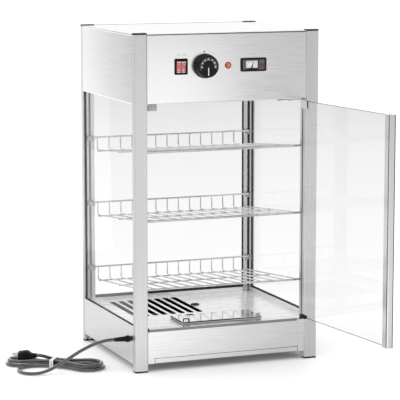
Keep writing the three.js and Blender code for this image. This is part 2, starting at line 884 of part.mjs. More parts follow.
// Water tray that hangs in the floor by its rim, and its lid with a filling hole, a loop and a tab
function waterTray() {
  const bottom = rimTop - trayDepth;
  const rimXs = grown(panXs, trayRim);
  const rimYs = grown(panYs, trayRim / 2);
  const shell = join(
    alongZ(rectangle(rimXs, rimYs, trayCorner), [rimBottom, rimTop]),
    alongZ(rectangle(panXs, panYs, trayCorner), [bottom, rimTop]),
  );
  const inside = rectangle(grown(panXs, -trayWall), grown(panYs, -trayWall), trayCorner - trayWall);
  return cut(shell, alongZ(inside, [bottom + trayWall, rimTop + overrun]));
}

function trayLid() {
  const xs = about(trayCentreX, lidLength);
  const ys = about(trayCentreY, lidDepth);
  const bore = lidHoleWidth / 2;
  const oval = (grow) => {
    const run = (lidHoleLength - lidHoleWidth) / 2;
    const shape = new THREE.Shape();
    shape.absarc(lidHoleX + run, lidHoleY, bore + grow, -Math.PI / 2, Math.PI / 2);
    shape.absarc(lidHoleX - run, lidHoleY, bore + grow, Math.PI / 2, (3 * Math.PI) / 2);
    shape.closePath();
    return shape;
  };
  const loopXs = about(loopX, loopSpan);
  const foot = lidTop - sheet / 2;
  const crest = lidTop + loopRise;
  const loop = [
    [loopXs[0], loopY, foot], [loopXs[0], loopY, crest], [loopXs[1], loopY, crest], [loopXs[1], loopY, foot],
  ];
  const tab = block(about(tabX, tabWidth), [ys[0], ys[0] + sheet], [lidTop - sheet, lidTop + tabRise]);
  const whole = join(
    alongZ(rectangle(xs, ys, sheet), [lidBottom, lidTop]),
    alongZ(oval(lidRingWall), [lidTop - sheet, lidTop + lidRingHeight]),
    wire(loop, loopWire, 2 * loopWire),
    tab,
  );
  const under = block(grown(xs, -sheet), grown(ys, -sheet), [lidBottom - overrun, lidTop - sheet]);
  return cut(whole, under, alongZ(oval(0), [lidBottom - overrun, lidTop + lidRingHeight + overrun]));
}

add("water_tray", waterTray(), polishedSteel);
add("tray_lid", trayLid(), polishedSteel);

// Door: made closed along +X from its pivot with its street face to +Y, then swung to where it stands open
const doorGroup = new THREE.Group();
doorGroup.position.set(pivotX, pivotY, 0);
doorGroup.rotation.z = (halfTurn + openAngle) * degree;
caseGroup.add(doorGroup);
const halfGlass = doorGlass / 2;

function doorHandle() {
  const start = handleEnd - handleWidth;
  const half = handleThickness / 2;
  const slotHalf = halfGlass + clearance;
  const bevel = handleBevel;
  const grooveAt = handleEnd - handleGrooveInset;
  const section = outline([
    [start, slotHalf], [start + handleSlotDepth, slotHalf], [start + handleSlotDepth, -slotHalf],
    [start, -slotHalf], [start, -half + bevel], [start + bevel, -half],
    [grooveAt - handleGrooveWidth, -half], [grooveAt - handleGrooveWidth, -half + handleGrooveDepth],
    [grooveAt, -half + handleGrooveDepth], [grooveAt, -half], [handleEnd - bevel, -half],
    [handleEnd, -half + bevel], [handleEnd, half - bevel], [handleEnd - bevel, half],
    [start + bevel, half], [start, half - bevel],
  ]);
  return alongZ(section, [handleBottom, handleTop]);
}

// A channel over a corner of the glass, with the pivot pin on its web
function doorClamp(top) {
  const slot = halfGlass + clearance;
  const ys = [-slot - clampInnerLeaf, slot + clampOuterLeaf];
  const xs = [clampStart, clampLength];
  const [edge, outward] = top ? [doorGlassTop, 1] : [doorGlassBottom, -1];
  const reach = (from, to) => [edge + outward * from, edge + outward * to].sort((a, b) => a - b);
  const web = clearance + clampWeb;
  const pinZs = reach(clearance + clampWeb / 2, web + bracketStrap + clearance);
  const pin = rod(pinRadius, "z", [0, 0, 0], pinZs, pinSteps);
  const channel = join(block(xs, ys, reach(-clampHeight, web)), pin);
  const slotXs = [xs[0] - overrun, xs[1] + overrun];
  return cut(channel, block(slotXs, [-slot, slot], reach(-clampHeight - overrun, clearance)));
}

const doorPane = block([0, doorGlassLength], [-halfGlass, halfGlass], [doorGlassBottom, doorGlassTop]);
add("door_glass", doorPane, clearGlass, 1, doorGroup);
add("door_handle", doorHandle(), aluminium, 1, doorGroup);
add("door_clamp_upper", doorClamp(true), brushedSteel, 1, doorGroup);
add("door_clamp_lower", doorClamp(false), blackPlastic, 1, doorGroup);

// The strap that holds the upper pin, and the magnetic catch behind the closed handle
function hingeBracket() {
  const top = housingBottom - clearance;
  const xs = [betweenX - bracketLength, betweenX];
  const ys = [frontY + clearance, frontY + clearance + bracketReach];
  const strap = block(xs, ys, [top - bracketStrap, top]);
  const pinZs = [top - bracketStrap - overrun, top + overrun];
  return cut(strap, rod(pinRadius + clearance, "z", [pivotX, pivotY, 0], pinZs, pinSteps));
}

function doorCatch() {
  const top = housingBottom - clearance;
  const xs = [-betweenX + catchInset, -betweenX + catchInset + catchWidth];
  const y0 = pivotY + handleThickness / 2 + 2 * clearance;
  const section = foldedSheet([[y0 + catchDepth, top], [y0, top], [y0, top - catchHeight]]);
  const magnetZs = [top - catchHeight, top - catchHeight / 3];
  const magnet = block(grown(xs, -sheet), [y0 + sheet / 2, y0 + catchDepth / 2], magnetZs);
  return join(alongX(section, xs), magnet);
}

add("hinge_bracket", hingeBracket(), brushedSteel);
add("door_catch", doorCatch(), blackPlastic);

// Racks: front-to-back wires that rise at the back as a fence, fused to their rails and cross wires. The
// front rail hooks into the legs of the front posts and the fence rail rests in clips on the rear posts.
function rack(railZ) {
  const slope = rackDrop / (rackBackY - rackFrontY);
  const bedZ = (y) => railZ - slope * (y - rackFrontY);
  const crossZ = (y) => bedZ(y) - 2 * rackWire + weldDepth;
  const pieces = [];
  for (let k = 0; k < rackWireCount; k++) {
    const x = -rackHalfSpan + (2 * rackHalfSpan * k) / (rackWireCount - 1);
    const path = [[x, rackFrontY, railZ], [x, rackBackY, railZ - rackDrop], [x, rackBackY, railZ]];
    pieces.push(wire(path, rackWire));
  }
  const straight = (y, z, half, radius) => wire([[-half, y, z], [half, y, z]], radius);
  const half = rackHalfSpan + rackWire;
  const hook = innerX + hookReach;
  const backCrossY = rackBackY - rackBend - rackWire;
  pieces.push(straight(rackFrontY, railZ, hook, rackRail));
  pieces.push(straight(rackFrontCrossY, crossZ(rackFrontCrossY), half, rackWire));
  pieces.push(straight(rackMiddleCrossY, crossZ(rackMiddleCrossY), half, rackWire));
  pieces.push(straight(backCrossY, crossZ(backCrossY), half, rackWire));
  const fence = [[-fenceEndX, rackBackY + fenceEndReach, railZ], [-fenceEndX, rackBackY, railZ]];
  const mirrored = fence.map(([x, y, z]) => [-x, y, z]).reverse();
  pieces.push(wire([...fence, ...mirrored], rackFenceRail, fenceBend));
  return join(...pieces);
}

// A clip with a tee foot in the slot of a rear post and an open notch for the end of the fence rail
function rackClip(railZ) {
  const zs = [railZ - clipBelow, railZ + clipAbove];
  const faceY = betweenY;
  const neck = grown(about(innerX + teeInset, teeMouth), -clearance);
  const head = grown(about(innerX + teeInset, teeHead), -clearance);
  const headYs = [blockY + teeLip + clearance, blockY + teeDepth - clearance];
  const notch = block(
    about(fenceEndX, 2 * (rackFenceRail + clearance)),
    [faceY - clipReach - overrun, faceY + clearance],
    [railZ - rackFenceRail - clearance, zs[1] + overrun],
  );
  const body = join(
    block([clipNearX, clipFarX], [faceY - clipReach, faceY], zs),
    block(neck, [faceY - clearance, headYs[1]], zs),
    block(head, headYs, zs),
  );
  return cut(body, notch);
}

rackNames.forEach((name, i) => {
  const railZ = rackTop - i * rackPitch;
  add(name, rack(railZ), brightWire);
  for (const [side, hand] of sides) {
    add(`${name.replace("rack", "clip")}_${side}`, rackClip(railZ), whitePlastic, hand);
  }
});

// Controls: two rockers in one bezel, the thermostat with its knob, a pilot lamp and a dial thermometer
function switchBody() {
  const [xs, zs] = switchHole(0);
  const faceXs = about(switchX, switchWidth);
  const faceZs = about(controlsHeight, switchHeight);
  const whole = join(
    block(faceXs, [frontY - switchProud, frontY - clearance], faceZs),
    block(xs, [frontY - switchProud, frontY + switchDepth], zs),
  );
  const well = [frontY - switchProud - overrun, frontY + switchDepth - switchWall];
  return cut(whole, block(grown(xs, -switchWall), well, grown(zs, -switchWall)));
}

function rocker() {
  const [xs, zs] = switchHole(-switchWall);
  const top = rockerProud + rockerPivotDepth;
  const swing = rockerSwing * degree;
  const long = ((zs[1] - zs[0]) / 2 - clearance - top * Math.sin(swing)) / Math.cos(swing);
  const wide = (xs[1] - xs[0]) / 2 - 2 * clearance;
  const section = outline([
    [rockerHeel, -rockerHeelHalf], [rockerHeel, rockerHeelHalf], [0, long], [-top, long],
    [-top + rockerDip, 0], [-top, -long], [0, -long],
  ]);
  return alongX(section, [-wide / 2, wide / 2]);
}

add("switch_bezel", switchBody(), blackPlastic);
const rockerOffset = (switchWidth - 2 * switchLip - 2 * switchWall) / 4;
for (const [side, hand] of sides) {
  const key = add(`rocker_${side}`, rocker(), redLens);
  key.position.set(switchX + hand * rockerOffset, frontY + rockerPivotDepth, controlsHeight);
  key.rotation.x = rockerSwing * degree;
}

function thermostatBody() {
  const back = frontY + sheet + clearance;
  return join(
    block(
      about(knobX, thermostatWidth), [back, back + thermostatDepth], about(controlsHeight, thermostatHeight),
    ),
    rod(shaftRadius, "front", [knobX, 0, controlsHeight], [-back - sheet, -frontY + shaftLength], pinSteps),
  );
}

function thermostatKnob() {
  const back = -frontY + knobGap;
  const face = back + knobHeight;
  const bore = shaftRadius + clearance;
  const profile = [
    [bore, back], [knobRadius, back], [knobRadius, back + knobSkirt],
    [knobFaceRadius, face - knobEdge], [knobFaceRadius - knobEdge, face], [0, face],
    [0, -frontY + shaftLength + clearance], [bore, -frontY + shaftLength + clearance], [bore, back],
  ];
  const body = turned(profile, "front", [knobX, 0, controlsHeight], knobSteps);
  const markZs = [controlsHeight - knobFaceRadius + 2 * knobEdge, controlsHeight - knobFaceRadius + knobMark];
  return cut(body, block(about(knobX, knobMarkWidth), [-face - overrun, -face + knobMarkDepth], markZs));
}

function pilotLamp() {
  const seat = -frontY + clearance;
  const rim = seat + lampRim;
  const diagonal = Math.SQRT1_2;
  return turned([
    [0, -frontY - lampBarrel], [lampLens, -frontY - lampBarrel], [lampLens, seat], [lampRadius, seat],
    [lampRadius, rim], [lampLens, rim], [lampLens * diagonal, rim + lampDome * diagonal],
    [0, rim + lampDome],
  ], "front", [lampX, 0, controlsHeight], smallSteps);
}

const windowXs = [meterX + windowLeft, meterX + windowRight];
const windowZs = [controlsHeight + windowBottom, controlsHeight + windowTop];

function thermometer() {
  const [xs, zs] = meterHole(0);
  const face = frontY - meterProud;
  const whole = join(
    block(about(meterX, meterWidth), [face, frontY - clearance], about(controlsHeight, meterHeight)),
    block(xs, [face, frontY + meterBodyDepth], zs),
  );
  return cut(
    whole,
    block(xs, [face - overrun, face + meterDish], zs),
    block(windowXs, [face - overrun, face + meterDish + windowDepth], windowZs),
  );
}

// The needle swings in front of the floor of the meter's window
function thermometerNeedle() {
  const tip = needleWidth / 4;
  const pointer = outline([[-needleWidth, 0], [needleWidth, 0], [tip, needleLength], [-tip, needleLength]]);
  return join(
    alongY(pointer, [-needleThickness, 0]),
    rod(needleHub, "front", [0, 0, 0], [0, needleThickness], pinSteps),
  );
}

add("thermostat_body", thermostatBody(), blackPlastic);
add("thermostat_knob", thermostatKnob(), blackPlastic);
add("pilot_lamp", pilotLamp(), amberLens);
add("thermometer", thermometer(), blackPlastic);
const needle = add("thermometer_needle", thermometerNeedle(), blackPlastic);
const needleY = frontY - meterProud + meterDish + windowDepth - clearance;
needle.position.set((windowXs[0] + windowXs[1]) / 2, needleY, windowZs[0] + needleHub + clearance);
needle.rotation.y = needleLean * degree;

// Cord: the gland in the left panel, the lead that drops to the counter, and the tied hank with its plug
const glandEnd = halfWidth + glandLength;

function cordGland() {
  const wall = halfWidth - sheet - clearance;
  const flange = halfWidth + clearance;
  return turned([
    [0, wall - glandNutLength], [glandNut, wall - glandNutLength], [glandNut, wall], [glandSleeve, wall],
    [glandSleeve, flange], [glandFlange, flange], [glandFlange, flange + glandFlangeLength],
    [glandTaper, flange + glandFlangeLength], [glandTip, glandEnd], [0, glandEnd],
  ], "left", [0, glandY, glandZ], smallSteps);
}

add("cord_gland", cordGland(), blackPlastic);

// Hank: two layers of long loops with round lobes, drawn in at the waist. It is laid in its own plane, with
// its length along x and its waist at the middle. The innermost loop sets the lobes, and the others lie
// outside it at a steady step.
const waistRadius =
  (lobeCentre ** 2 + waistHalf ** 2 - lobeRadius ** 2) / (2 * (lobeRadius - waistHalf));
const waistSweep = Math.asin(lobeCentre / (lobeRadius + waistRadius));
const lobeRun = lobeRadius * (Math.PI / 2 + waistSweep);
const quarterRun = lobeRun + waistRadius * waistSweep;
const mostInset = (hankMiddle - hankStart) / fullTurn;

// A point of the loops at an angle in degrees, 0 at the front of the waist and 90 at the right-hand tip: the
// spiral runs in to the middle angle, climbs a layer in that half turn, and runs out again
function loopPoint(angle) {
  const quarters = THREE.MathUtils.euclideanModulo(angle, fullTurn) / quarterTurn;
  const hand = quarters < 2 ? 1 : -1;
  const fromTip = (quarters % 2) - 1;
  const run = Math.abs(fromTip) * quarterRun;
  const outward = hankStep * (Math.abs(angle - hankMiddle) / fullTurn);
  const climb = THREE.MathUtils.clamp((angle - hankMiddle + quarterTurn) / halfTurn, 0, 1);
  const z = cordRadius + hankLift * fromTip ** 2 + hankLayer * climb;
  const across = hand * Math.sign(fromTip);
  if (run < lobeRun) {
    const sweep = run / lobeRadius;
    const arm = lobeRadius + outward;
    return new THREE.Vector3(hand * (lobeCentre + arm * Math.cos(sweep)), across * arm * Math.sin(sweep), z);
  }
  const sweep = waistSweep - (run - lobeRun) / waistRadius;
  const arm = waistRadius - outward;
  const n = waistHalf + waistRadius - arm * Math.cos(sweep);
  return new THREE.Vector3(hand * arm * Math.sin(sweep), across * n, z);
}

const plugAxis = new THREE.Vector3(-Math.cos(plugTilt * degree), 0, -Math.sin(plugTilt * degree));
const plugBase = new THREE.Vector3(-plugStart, plugAcross, plugHeight);

function hankPoints() {
  const fine = [];
  for (let angle = hankStart; angle <= hankEnd; angle += 1) {
    fine.push(loopPoint(angle));
  }
  const last = fine[fine.length - 1];
  const heading = last.clone().sub(fine[fine.length - 2]).normalize();
  const near = last.clone().addScaledVector(heading, tailRun / 3);
  near.z += tailRise;
  const far = plugBase.clone().addScaledVector(plugAxis, -clearance - tailRun / 3);
  const end = plugBase.clone().addScaledVector(plugAxis, -clearance);
  const tail = new THREE.CubicBezierCurve3(last, near, far, end);
  tail.getPoints(tailSteps).slice(1).forEach((point) => fine.push(point));
  return fine;
}

// A curve with rings at stations chosen along a fine line, closer together where the line bends
class StationCurve extends THREE.Curve {
  constructor(fine, steps, diameter) {
    super();
    this.steps = steps;
    const load = [0];
    for (let i = 1; i < fine.length; i++) {
      const behind = fine[i].clone().sub(fine[i - 1]);
      const ahead = i < fine.length - 1 ? fine[i + 1].clone().sub(fine[i]) : behind;
      load.push(load[i - 1] + behind.angleTo(ahead) + behind.length() / (straightShare * diameter));
    }
    this.points = [];
    let i = 0;
    for (let k = 0; k <= steps; k++) {
      const target = (load[load.length - 1] * k) / steps;
      while (i < load.length - 2 && load[i + 1] < target) {
        i += 1;
      }
      const share = (target - load[i]) / (load[i + 1] - load[i]);
      this.points.push(fine[i].clone().lerp(fine[i + 1], THREE.MathUtils.clamp(share, 0, 1)));
    }
    this.tangents = this.points.map((point, k) => {
      const before = this.points[Math.max(k - 1, 0)];
      const after = this.points[Math.min(k + 1, steps)];
      return after.clone().sub(before).normalize();
    });
    this.tangents[0].copy(fine[1]).sub(fine[0]).normalize();
    this.tangents[steps].copy(fine[fine.length - 1]).sub(fine[fine.length - 2]).normalize();
  }
  getPointAt(share, target = new THREE.Vector3()) {
    return target.copy(this.points[Math.round(share * this.steps)]);
  }
  getTangentAt(share, target = new THREE.Vector3()) {
    return target.copy(this.tangents[Math.round(share * this.steps)]);
  }
}

const hankCurve = new StationCurve(hankPoints(), hankSteps, 2 * cordRadius);

// The least gap between turns of the hank, measured between points that lie well apart along it
function leastGap(line, radius) {
  const fine = [];
  for (let i = 1; i < line.length; i++) {
    for (let k = 0; k < gapSamples; k++) {
      fine.push(line[i - 1].clone().lerp(line[i], k / gapSamples));
    }
  }
  const along = [0];
  fine.slice(1).forEach((point, i) => along.push(along[i] + point.distanceTo(fine[i])));
  let least = Infinity;
  fine.forEach((point, i) => {
    for (let j = i + 1; j < fine.length; j++) {
      if (along[j] - along[i] > 10 * radius) {
        least = Math.min(least, point.distanceTo(fine[j]) - 2 * radius);
      }
    }
  });
  return { least, length: along[along.length - 1] };
}

const hankGroup = new THREE.Group();
hankGroup.position.set(hankX, hankY, 0);
hankGroup.rotation.z = hankTurn * degree;
caseGroup.add(hankGroup);
add("cord_hank", tube(hankCurve, hankSteps, cordRadius, wireSides), cordSheath, 1, hankGroup);
const measured = leastGap(hankCurve.points, cordRadius);
console.log(`hank: ${measured.length.toFixed(0)} mm long, least gap ${measured.least.toFixed(2)} mm`);

// The tie: a flat band round the waist
function cordTie() {
  const reach = waistHalf + cordRadius + 2 * clearance;
  const ys = [-reach - hankStep * mostInset, reach + hankStep];
  const zs = [hankLift - 2 * clearance, hankLift + 2 * cordRadius + hankLayer + clearance];
  const outer = rectangle(grown(ys, tieThickness), grown(zs, tieThickness), cordRadius);
  outer.holes.push(rectangle(ys, zs, cordRadius - tieThickness));
  return alongX(outer, about(0, tieWidth));
}

add("cord_tie", cordTie(), whitePlastic, 1, hankGroup);

// The plug: a moulded body on a tapered neck, two flat blades and a round earth pin
function plugBodySolid() {
  const rear = plugNeckLength;
  const frontEnd = rear + plugBodyLength;
  const profile = [
    [0, 0], [plugNeck, 0], [plugNeck + plugNeckFlare, rear * plugNeckShare],
    [plugBody * plugShoulderShare, rear], [plugBody, rear + plugBodyLength / 4],
    [plugBody, frontEnd], [0, frontEnd],
  ];
  const blade = (y) => block(
    [-frontEnd - bladeLength, weldDepth - frontEnd], about(y, bladeThickness), about(0, bladeWidth),
  );
  return join(
    turned(profile, "left", [0, 0, 0], smallSteps),
    blade(-bladeGap / 2),
    blade(bladeGap / 2),
    rod(earthRadius, "left", [0, 0, earthDrop], [frontEnd - weldDepth, frontEnd + earthLength], cordSides),
  );
}

const plug = add("plug", plugBodySolid(), blackPlastic, 1, hankGroup);
plug.position.copy(plugBase);
plug.rotation.y = -plugTilt * degree;

// Route of the lead: out of the gland, down to the counter, round one loop and into the hank
const leadRoute = [
  [-204.3, -110, 55.5], [-211, -110, 55.7], [-220, -109.6, 55], [-233, -108.3, 52.4], [-247, -107, 47.8],
  [-262, -105.5, 41], [-276, -104, 33.4], [-290, -102.7, 25], [-303, -101.8, 17.5], [-316, -101.6, 11.4],
  [-328, -102.2, 7.2], [-340.3, -102.7, 4.6], [-350.9, -100.8, 3.7], [-360.2, -95.4, 3.3],
  [-367.1, -87.2, 3.2],
  [-370.8, -77.1, 3.2], [-370.8, -66.3, 3.2], [-367.1, -56.2, 3.2], [-360.2, -48, 3.2], [-350.9, -42.6, 3.3],
  [-340.3, -40.9, 3.4], [-329.3, -43, 3.8],
].map((point) => new THREE.Vector3(...point));

hankGroup.updateMatrix();
const hankEntry = hankCurve.points[0].clone().applyMatrix4(hankGroup.matrix);
const hankHeading = hankCurve.tangents[0].clone().transformDirection(hankGroup.matrix);
leadRoute.push(hankEntry.clone().addScaledVector(hankHeading, -3 * cordRadius - clearance));
leadRoute.push(hankEntry.clone().addScaledVector(hankHeading, -clearance));
const leadFine = new THREE.CatmullRomCurve3(leadRoute, false, "centripetal").getPoints(leadFineSteps);
const leadCurve = new StationCurve(leadFine, leadSteps, 2 * cordRadius);
add("cord_lead", tube(leadCurve, leadSteps, cordRadius, cordSides), cordSheath);

// The origin is the middle of the footprint of everything but the cord and what is on it
const cordNames = ["cord_lead", "cord_hank", "cord_tie", "plug", "cord_gland"];
const bounds = new THREE.Box3();
caseGroup.updateMatrixWorld(true);
caseGroup.traverse((piece) => {
  if (piece.isMesh && !cordNames.includes(piece.name)) {
    bounds.expandByObject(piece, true);
  }
});
const middle = bounds.getCenter(new THREE.Vector3());
const part = new THREE.Group();
caseGroup.position.set(-middle.x, -middle.y, 0);
part.add(caseGroup);

export default part;
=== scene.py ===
"""A heated display case, dressed for its picture: materials, wires, controls, cord and light.

Metres, +Z up, -Y is the front. Places are written in millimetres from the middle of the case's
footprint and turned into the model's frame by at().
"""
import math

import bmesh
import bpy
from mathutils import Matrix, Vector


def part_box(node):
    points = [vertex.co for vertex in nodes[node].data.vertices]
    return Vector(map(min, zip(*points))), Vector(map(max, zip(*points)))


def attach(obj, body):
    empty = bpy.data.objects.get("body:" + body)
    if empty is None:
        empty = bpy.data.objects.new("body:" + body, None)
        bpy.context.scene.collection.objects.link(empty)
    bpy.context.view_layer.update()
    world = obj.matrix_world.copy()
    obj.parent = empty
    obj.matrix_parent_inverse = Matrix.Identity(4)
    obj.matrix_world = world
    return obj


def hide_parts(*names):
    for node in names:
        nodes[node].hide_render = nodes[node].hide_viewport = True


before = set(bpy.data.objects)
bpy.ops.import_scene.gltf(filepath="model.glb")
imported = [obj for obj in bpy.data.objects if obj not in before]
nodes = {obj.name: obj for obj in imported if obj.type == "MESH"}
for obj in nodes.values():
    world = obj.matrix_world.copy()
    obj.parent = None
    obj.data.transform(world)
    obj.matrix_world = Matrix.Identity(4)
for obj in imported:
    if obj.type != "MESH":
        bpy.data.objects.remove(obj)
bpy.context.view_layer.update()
scene = bpy.context.scene
scene.view_settings.view_transform = "Standard"

MM = 0.001
LEFT_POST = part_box("post_front_left")[0]
RIGHT_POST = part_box("post_back_right")[1]
CASE_MIDDLE = Vector(((LEFT_POST.x + RIGHT_POST.x) / 2, (LEFT_POST.y + RIGHT_POST.y) / 2, 0))


def at(x, y, z):
    """A point of the case, from millimetres."""
    return CASE_MIDDLE + Vector((x, y, z)) * MM


def added(name, data):
    """A new object in the scene."""
    made = bpy.data.objects.new(name, data)
    scene.collection.objects.link(made)
    return made


# Camera
CAMERA_PLACE = at(-1330.8, -3405.8, 821.3)
CAMERA_YAW, CAMERA_PITCH = math.radians(21.428), math.radians(8.345)
SENSOR, FOCAL_SHARE = 36, 1966.2 / 400


def make_camera():
    """A long lens from the front left, a little above the case."""
    lens = bpy.data.cameras.new("camera")
    lens.sensor_width, lens.lens = SENSOR, FOCAL_SHARE * SENSOR
    lens.clip_start, lens.clip_end = 0.1, 100
    across, level = math.sin(CAMERA_YAW), math.cos(CAMERA_YAW)
    sink, reach = math.sin(CAMERA_PITCH), math.cos(CAMERA_PITCH)
    forward = Vector((across * reach, level * reach, -sink))
    right = Vector((level, -across, 0))
    turn = Matrix((right, right.cross(forward), -forward)).transposed().to_4x4()
    scene.camera = added("camera", lens)
    scene.camera.matrix_world = Matrix.Translation(CAMERA_PLACE) @ turn


make_camera()


# Materials
GRAIN_LOW, GRAIN_HIGH, GRAIN_ROUGHNESS = 0.3, 0.7, 0.6


class Nodes:
    """A node tree, with short ways to add to it."""

    family = "ShaderNode"

    def __init__(self, tree):
        self.tree = tree

    def node(self, kind, inputs=(), **settings):
        """A new node. An input is a value, or the socket or node that it is linked from."""
        made = self.tree.nodes.new(self.family + kind)
        for name, value in settings.items():
            setattr(made, name, value)
        for socket, source in dict(inputs).items():
            if isinstance(source, bpy.types.Node):
                source = source.outputs[0]
            if isinstance(source, bpy.types.NodeSocket):
                self.tree.links.new(source, made.inputs[socket])
            else:
                made.inputs[socket].default_value = source
        return made

    def span(self, source, start, stop, low, high):
        """Turns a value from start..stop into low..high."""
        return self.node("MapRange", {
            "Value": source, "From Min": start, "From Max": stop, "To Min": low, "To Max": high,
        })

    def ramp(self, source, stops):
        """Blends colours along a value, by stops of (value, colour)."""
        made = self.node("ValToRGB", {"Fac": source})
        elements = made.color_ramp.elements
        for element, (position, color) in zip(elements, (stops[0], stops[-1])):
            element.position, element.color = position, (*color, 1)
        for position, color in stops[1:-1]:
            elements.new(position).color = (*color, 1)
        return made

    def bands(self, source, low, high, stops):
        """A grey that follows a value by stops of (value, brightness); a brightness of 2 is white."""
        return self.ramp(self.span(source, low, high, 0, 1), [
            ((value - low) / (high - low), (bright / 2,) * 3) for value, bright in stops
        ])

    def times(self, source, factor):
        return self.node("Math", {0: source, 1: factor}, operation="MULTIPLY")

    def seen(self, path):
        """Whether a ray comes from the camera, straight or through glass."""
        rays = {0: path["Is Camera Ray"], 1: path["Is Transmission Ray"]}
        return self.node("Math", rays, operation="MAXIMUM")

    def mix(self, share, first, second):
        return self.node("MixShader", {0: share, 1: first, 2: second})


class Finish(Nodes):
    """A material in the making."""

    def __init__(self, name, color, roughness, metallic=0.0, **sockets):
        self.material = bpy.data.materials.new(name)
        self.material.use_nodes = True
        self.material.diffuse_color = (*color, 1)
        super().__init__(self.material.node_tree)
        self.shader = self.tree.nodes["Principled BSDF"]
        values = {"Base Color": (*color, 1), "Roughness": roughness, "Metallic": metallic, **sockets}
        for socket, value in values.items():
            self.shader.inputs[socket.replace("_", " ")].default_value = value

    def feed(self, source, socket):
        """Links a node to the shader."""
        self.tree.links.new(source.outputs[0], self.shader.inputs[socket])
        return self

    def show(self, shader):
        """Links a shader to the surface."""
        self.tree.links.new(shader.outputs[0], self.tree.nodes["Material Output"].inputs["Surface"])
        return self

    def place(self, stretch=(1, 1, 1)):
        """Object coordinates in metres, stretched along the axes."""
        coordinates = self.node("TexCoord").outputs["Object"]
        return self.node("Mapping", {"Vector": coordinates, "Scale": stretch})

    def grain(self, stretch, detail=3.0):
        """Noise whose grains are 1/stretch metres long on each axis."""
        return self.node("TexNoise", {
            "Vector": self.place(stretch), "Scale": 1, "Detail": detail, "Roughness": GRAIN_ROUGHNESS,
        })

    def tint(self, source, dark, light):
        """Colours the surface between two colours by a value."""
        return self.feed(self.ramp(source, [(GRAIN_LOW, dark), (GRAIN_HIGH, light)]), "Base Color")

    def sheen(self, source, low, high):
        """Varies the roughness by a value."""
        return self.feed(self.span(source, GRAIN_LOW, GRAIN_HIGH, low, high), "Roughness")

    def relief(self, source, depth, strength):
        """Raises the surface by a value, depth metres at most."""
        bump = self.node("Bump", {"Height": source, "Distance": depth, "Strength": strength})
        return self.feed(bump, "Normal")


def grey(value):
    """A linear grey from a display grey."""
    return (value ** 2.2,) * 3


def grained(name, color, rough, metallic, stretch, detail, tones, sheens, relief=None, **sockets):
    """A finish whose colour, gloss and relief follow one noise."""
    made = Finish(name, color, rough, metallic, **sockets)
    noise = made.grain(stretch, detail)
    made.tint(noise, *tones).sheen(noise, *sheens)
    if relief:
        made.relief(noise, *relief)
    return made.material


def brushed(name, lines, tone, rough, contrast=0.02, metallic=1.0):
    """Brushed steel: fine lines across the strong axis."""
    tones, sheens = (grey(tone - contrast), grey(tone + contrast / 2)), (rough - 0.04, rough + 0.05)
    return grained(name, grey(tone), rough, metallic, lines, 3.0, tones, sheens, (0.00001, 0.25))


def anodised(name, tone, rough, metallic=1.0):
    """Extruded aluminium with a satin skin and faint draw lines along its length."""
    tones, sheens = (grey(tone - 0.03), grey(tone + 0.02)), (rough - 0.04, rough + 0.05)
    return grained(name, grey(tone), rough, metallic, (900, 900, 3), 3.0, tones, sheens, (0.00001, 0.3))


def moulded(name, color, rough, grain=2600, depth=0.00002, shine=0.35):
    """Moulded plastic with a fine etched skin."""
    tones = tuple(c * 0.8 for c in color), tuple(min(1, c * 1.25 + 0.004) for c in color)
    sheens = (rough - 0.06, rough + 0.08)
    return grained(
        name, color, rough, 0, (grain,) * 3, 2.0, tones, sheens, (depth, 0.5), Specular_IOR_Level=shine,
    )


def lens_plastic(name, deep, bright, glow):
    """Translucent coloured plastic, lit a little from inside."""
    inside = {"Emission_Color": (*bright, 1), "Emission_Strength": glow}
    lens = Finish(name, bright, 0.18, 0, Coat_Weight=0.5, IOR=1.5, **inside)
    cloud = lens.grain((420, 420, 420))
    return lens.tint(cloud, deep, bright).relief(cloud, 0.00005, 0.4).material


def pane(name, color, bend):
    """Clear float glass with faint smears. Shadow rays pass, so it doesn't darken what is behind it."""
    glass = Finish(name, color, 0.0, 0, Transmission_Weight=1.0, IOR=bend)
    glass.sheen(glass.grain((7, 7, 2), 2.0), 0.0, 0.012)
    shadow = glass.node("LightPath").outputs["Is Shadow Ray"]
    return glass.show(glass.mix(shadow, glass.shader, glass.node("BsdfTransparent"))).material


panel_steel = brushed("panel_steel", (18, 18, 1200), 0.88, 0.22, 0.045)
roof_steel = brushed("roof_steel", (6, 1500, 6), 0.97, 0.25)
floor_steel = brushed("floor_steel", (5, 900, 900), 0.96, 0.26, 0.01, 0.45)
lid_steel = brushed("lid_steel", (5, 900, 900), 0.9, 0.08, 0.01, 0.85)
inner_steel = brushed("inner_steel", (6, 1200, 1200), 0.85, 0.3)
tray_steel = brushed("tray_steel", (6, 900, 900), 0.72, 0.3)
post_metal = anodised("post_metal", 0.8, 0.32, 0.8)
handle_metal = anodised("handle_metal", 0.86, 0.2)
pin_metal = anodised("pin_metal", 0.9, 0.2)
clear_pane = pane("clear_pane", (0.998, 1.0, 0.998), 1.15)
door_pane = pane("door_pane", (0.992, 0.995, 0.99), 1.25)
black = moulded("black_moulding", grey(0.05), 0.5, shine=0.25)
black_gloss = moulded("black_gloss", grey(0.04), 0.3, 1500, 0.00001, 0.25)
knob_black = moulded("knob_black", grey(0.06), 0.42, 1900, shine=0.25)
grey_moulding = moulded("grey_moulding", grey(0.68), 0.45)
white_moulding = moulded("white_moulding", grey(0.86), 0.45)
clip_moulding = moulded("clip_moulding", grey(0.66), 0.4, 700, 0.0002)
strip_grey = moulded("strip_grey", grey(0.5), 0.6, 600)
# Painted shade: a dark matt finish for the box inside the base, the rims of the floor's slots and the discs
# in the tie's holes
dark_lining = moulded("dark_lining", grey(0.08), 0.9, shine=0.0)
smoked = moulded("smoked", grey(0.36), 0.3, 900)
lamp_rim_red = moulded("lamp_rim_red", (0.16, 0.02, 0.015), 0.3)
# White print; the same white also paints the highlight strips across the rockers' ends
print_white = moulded("print_white", grey(0.93), 0.5)
print_grey = moulded("print_grey", grey(0.7), 0.5)
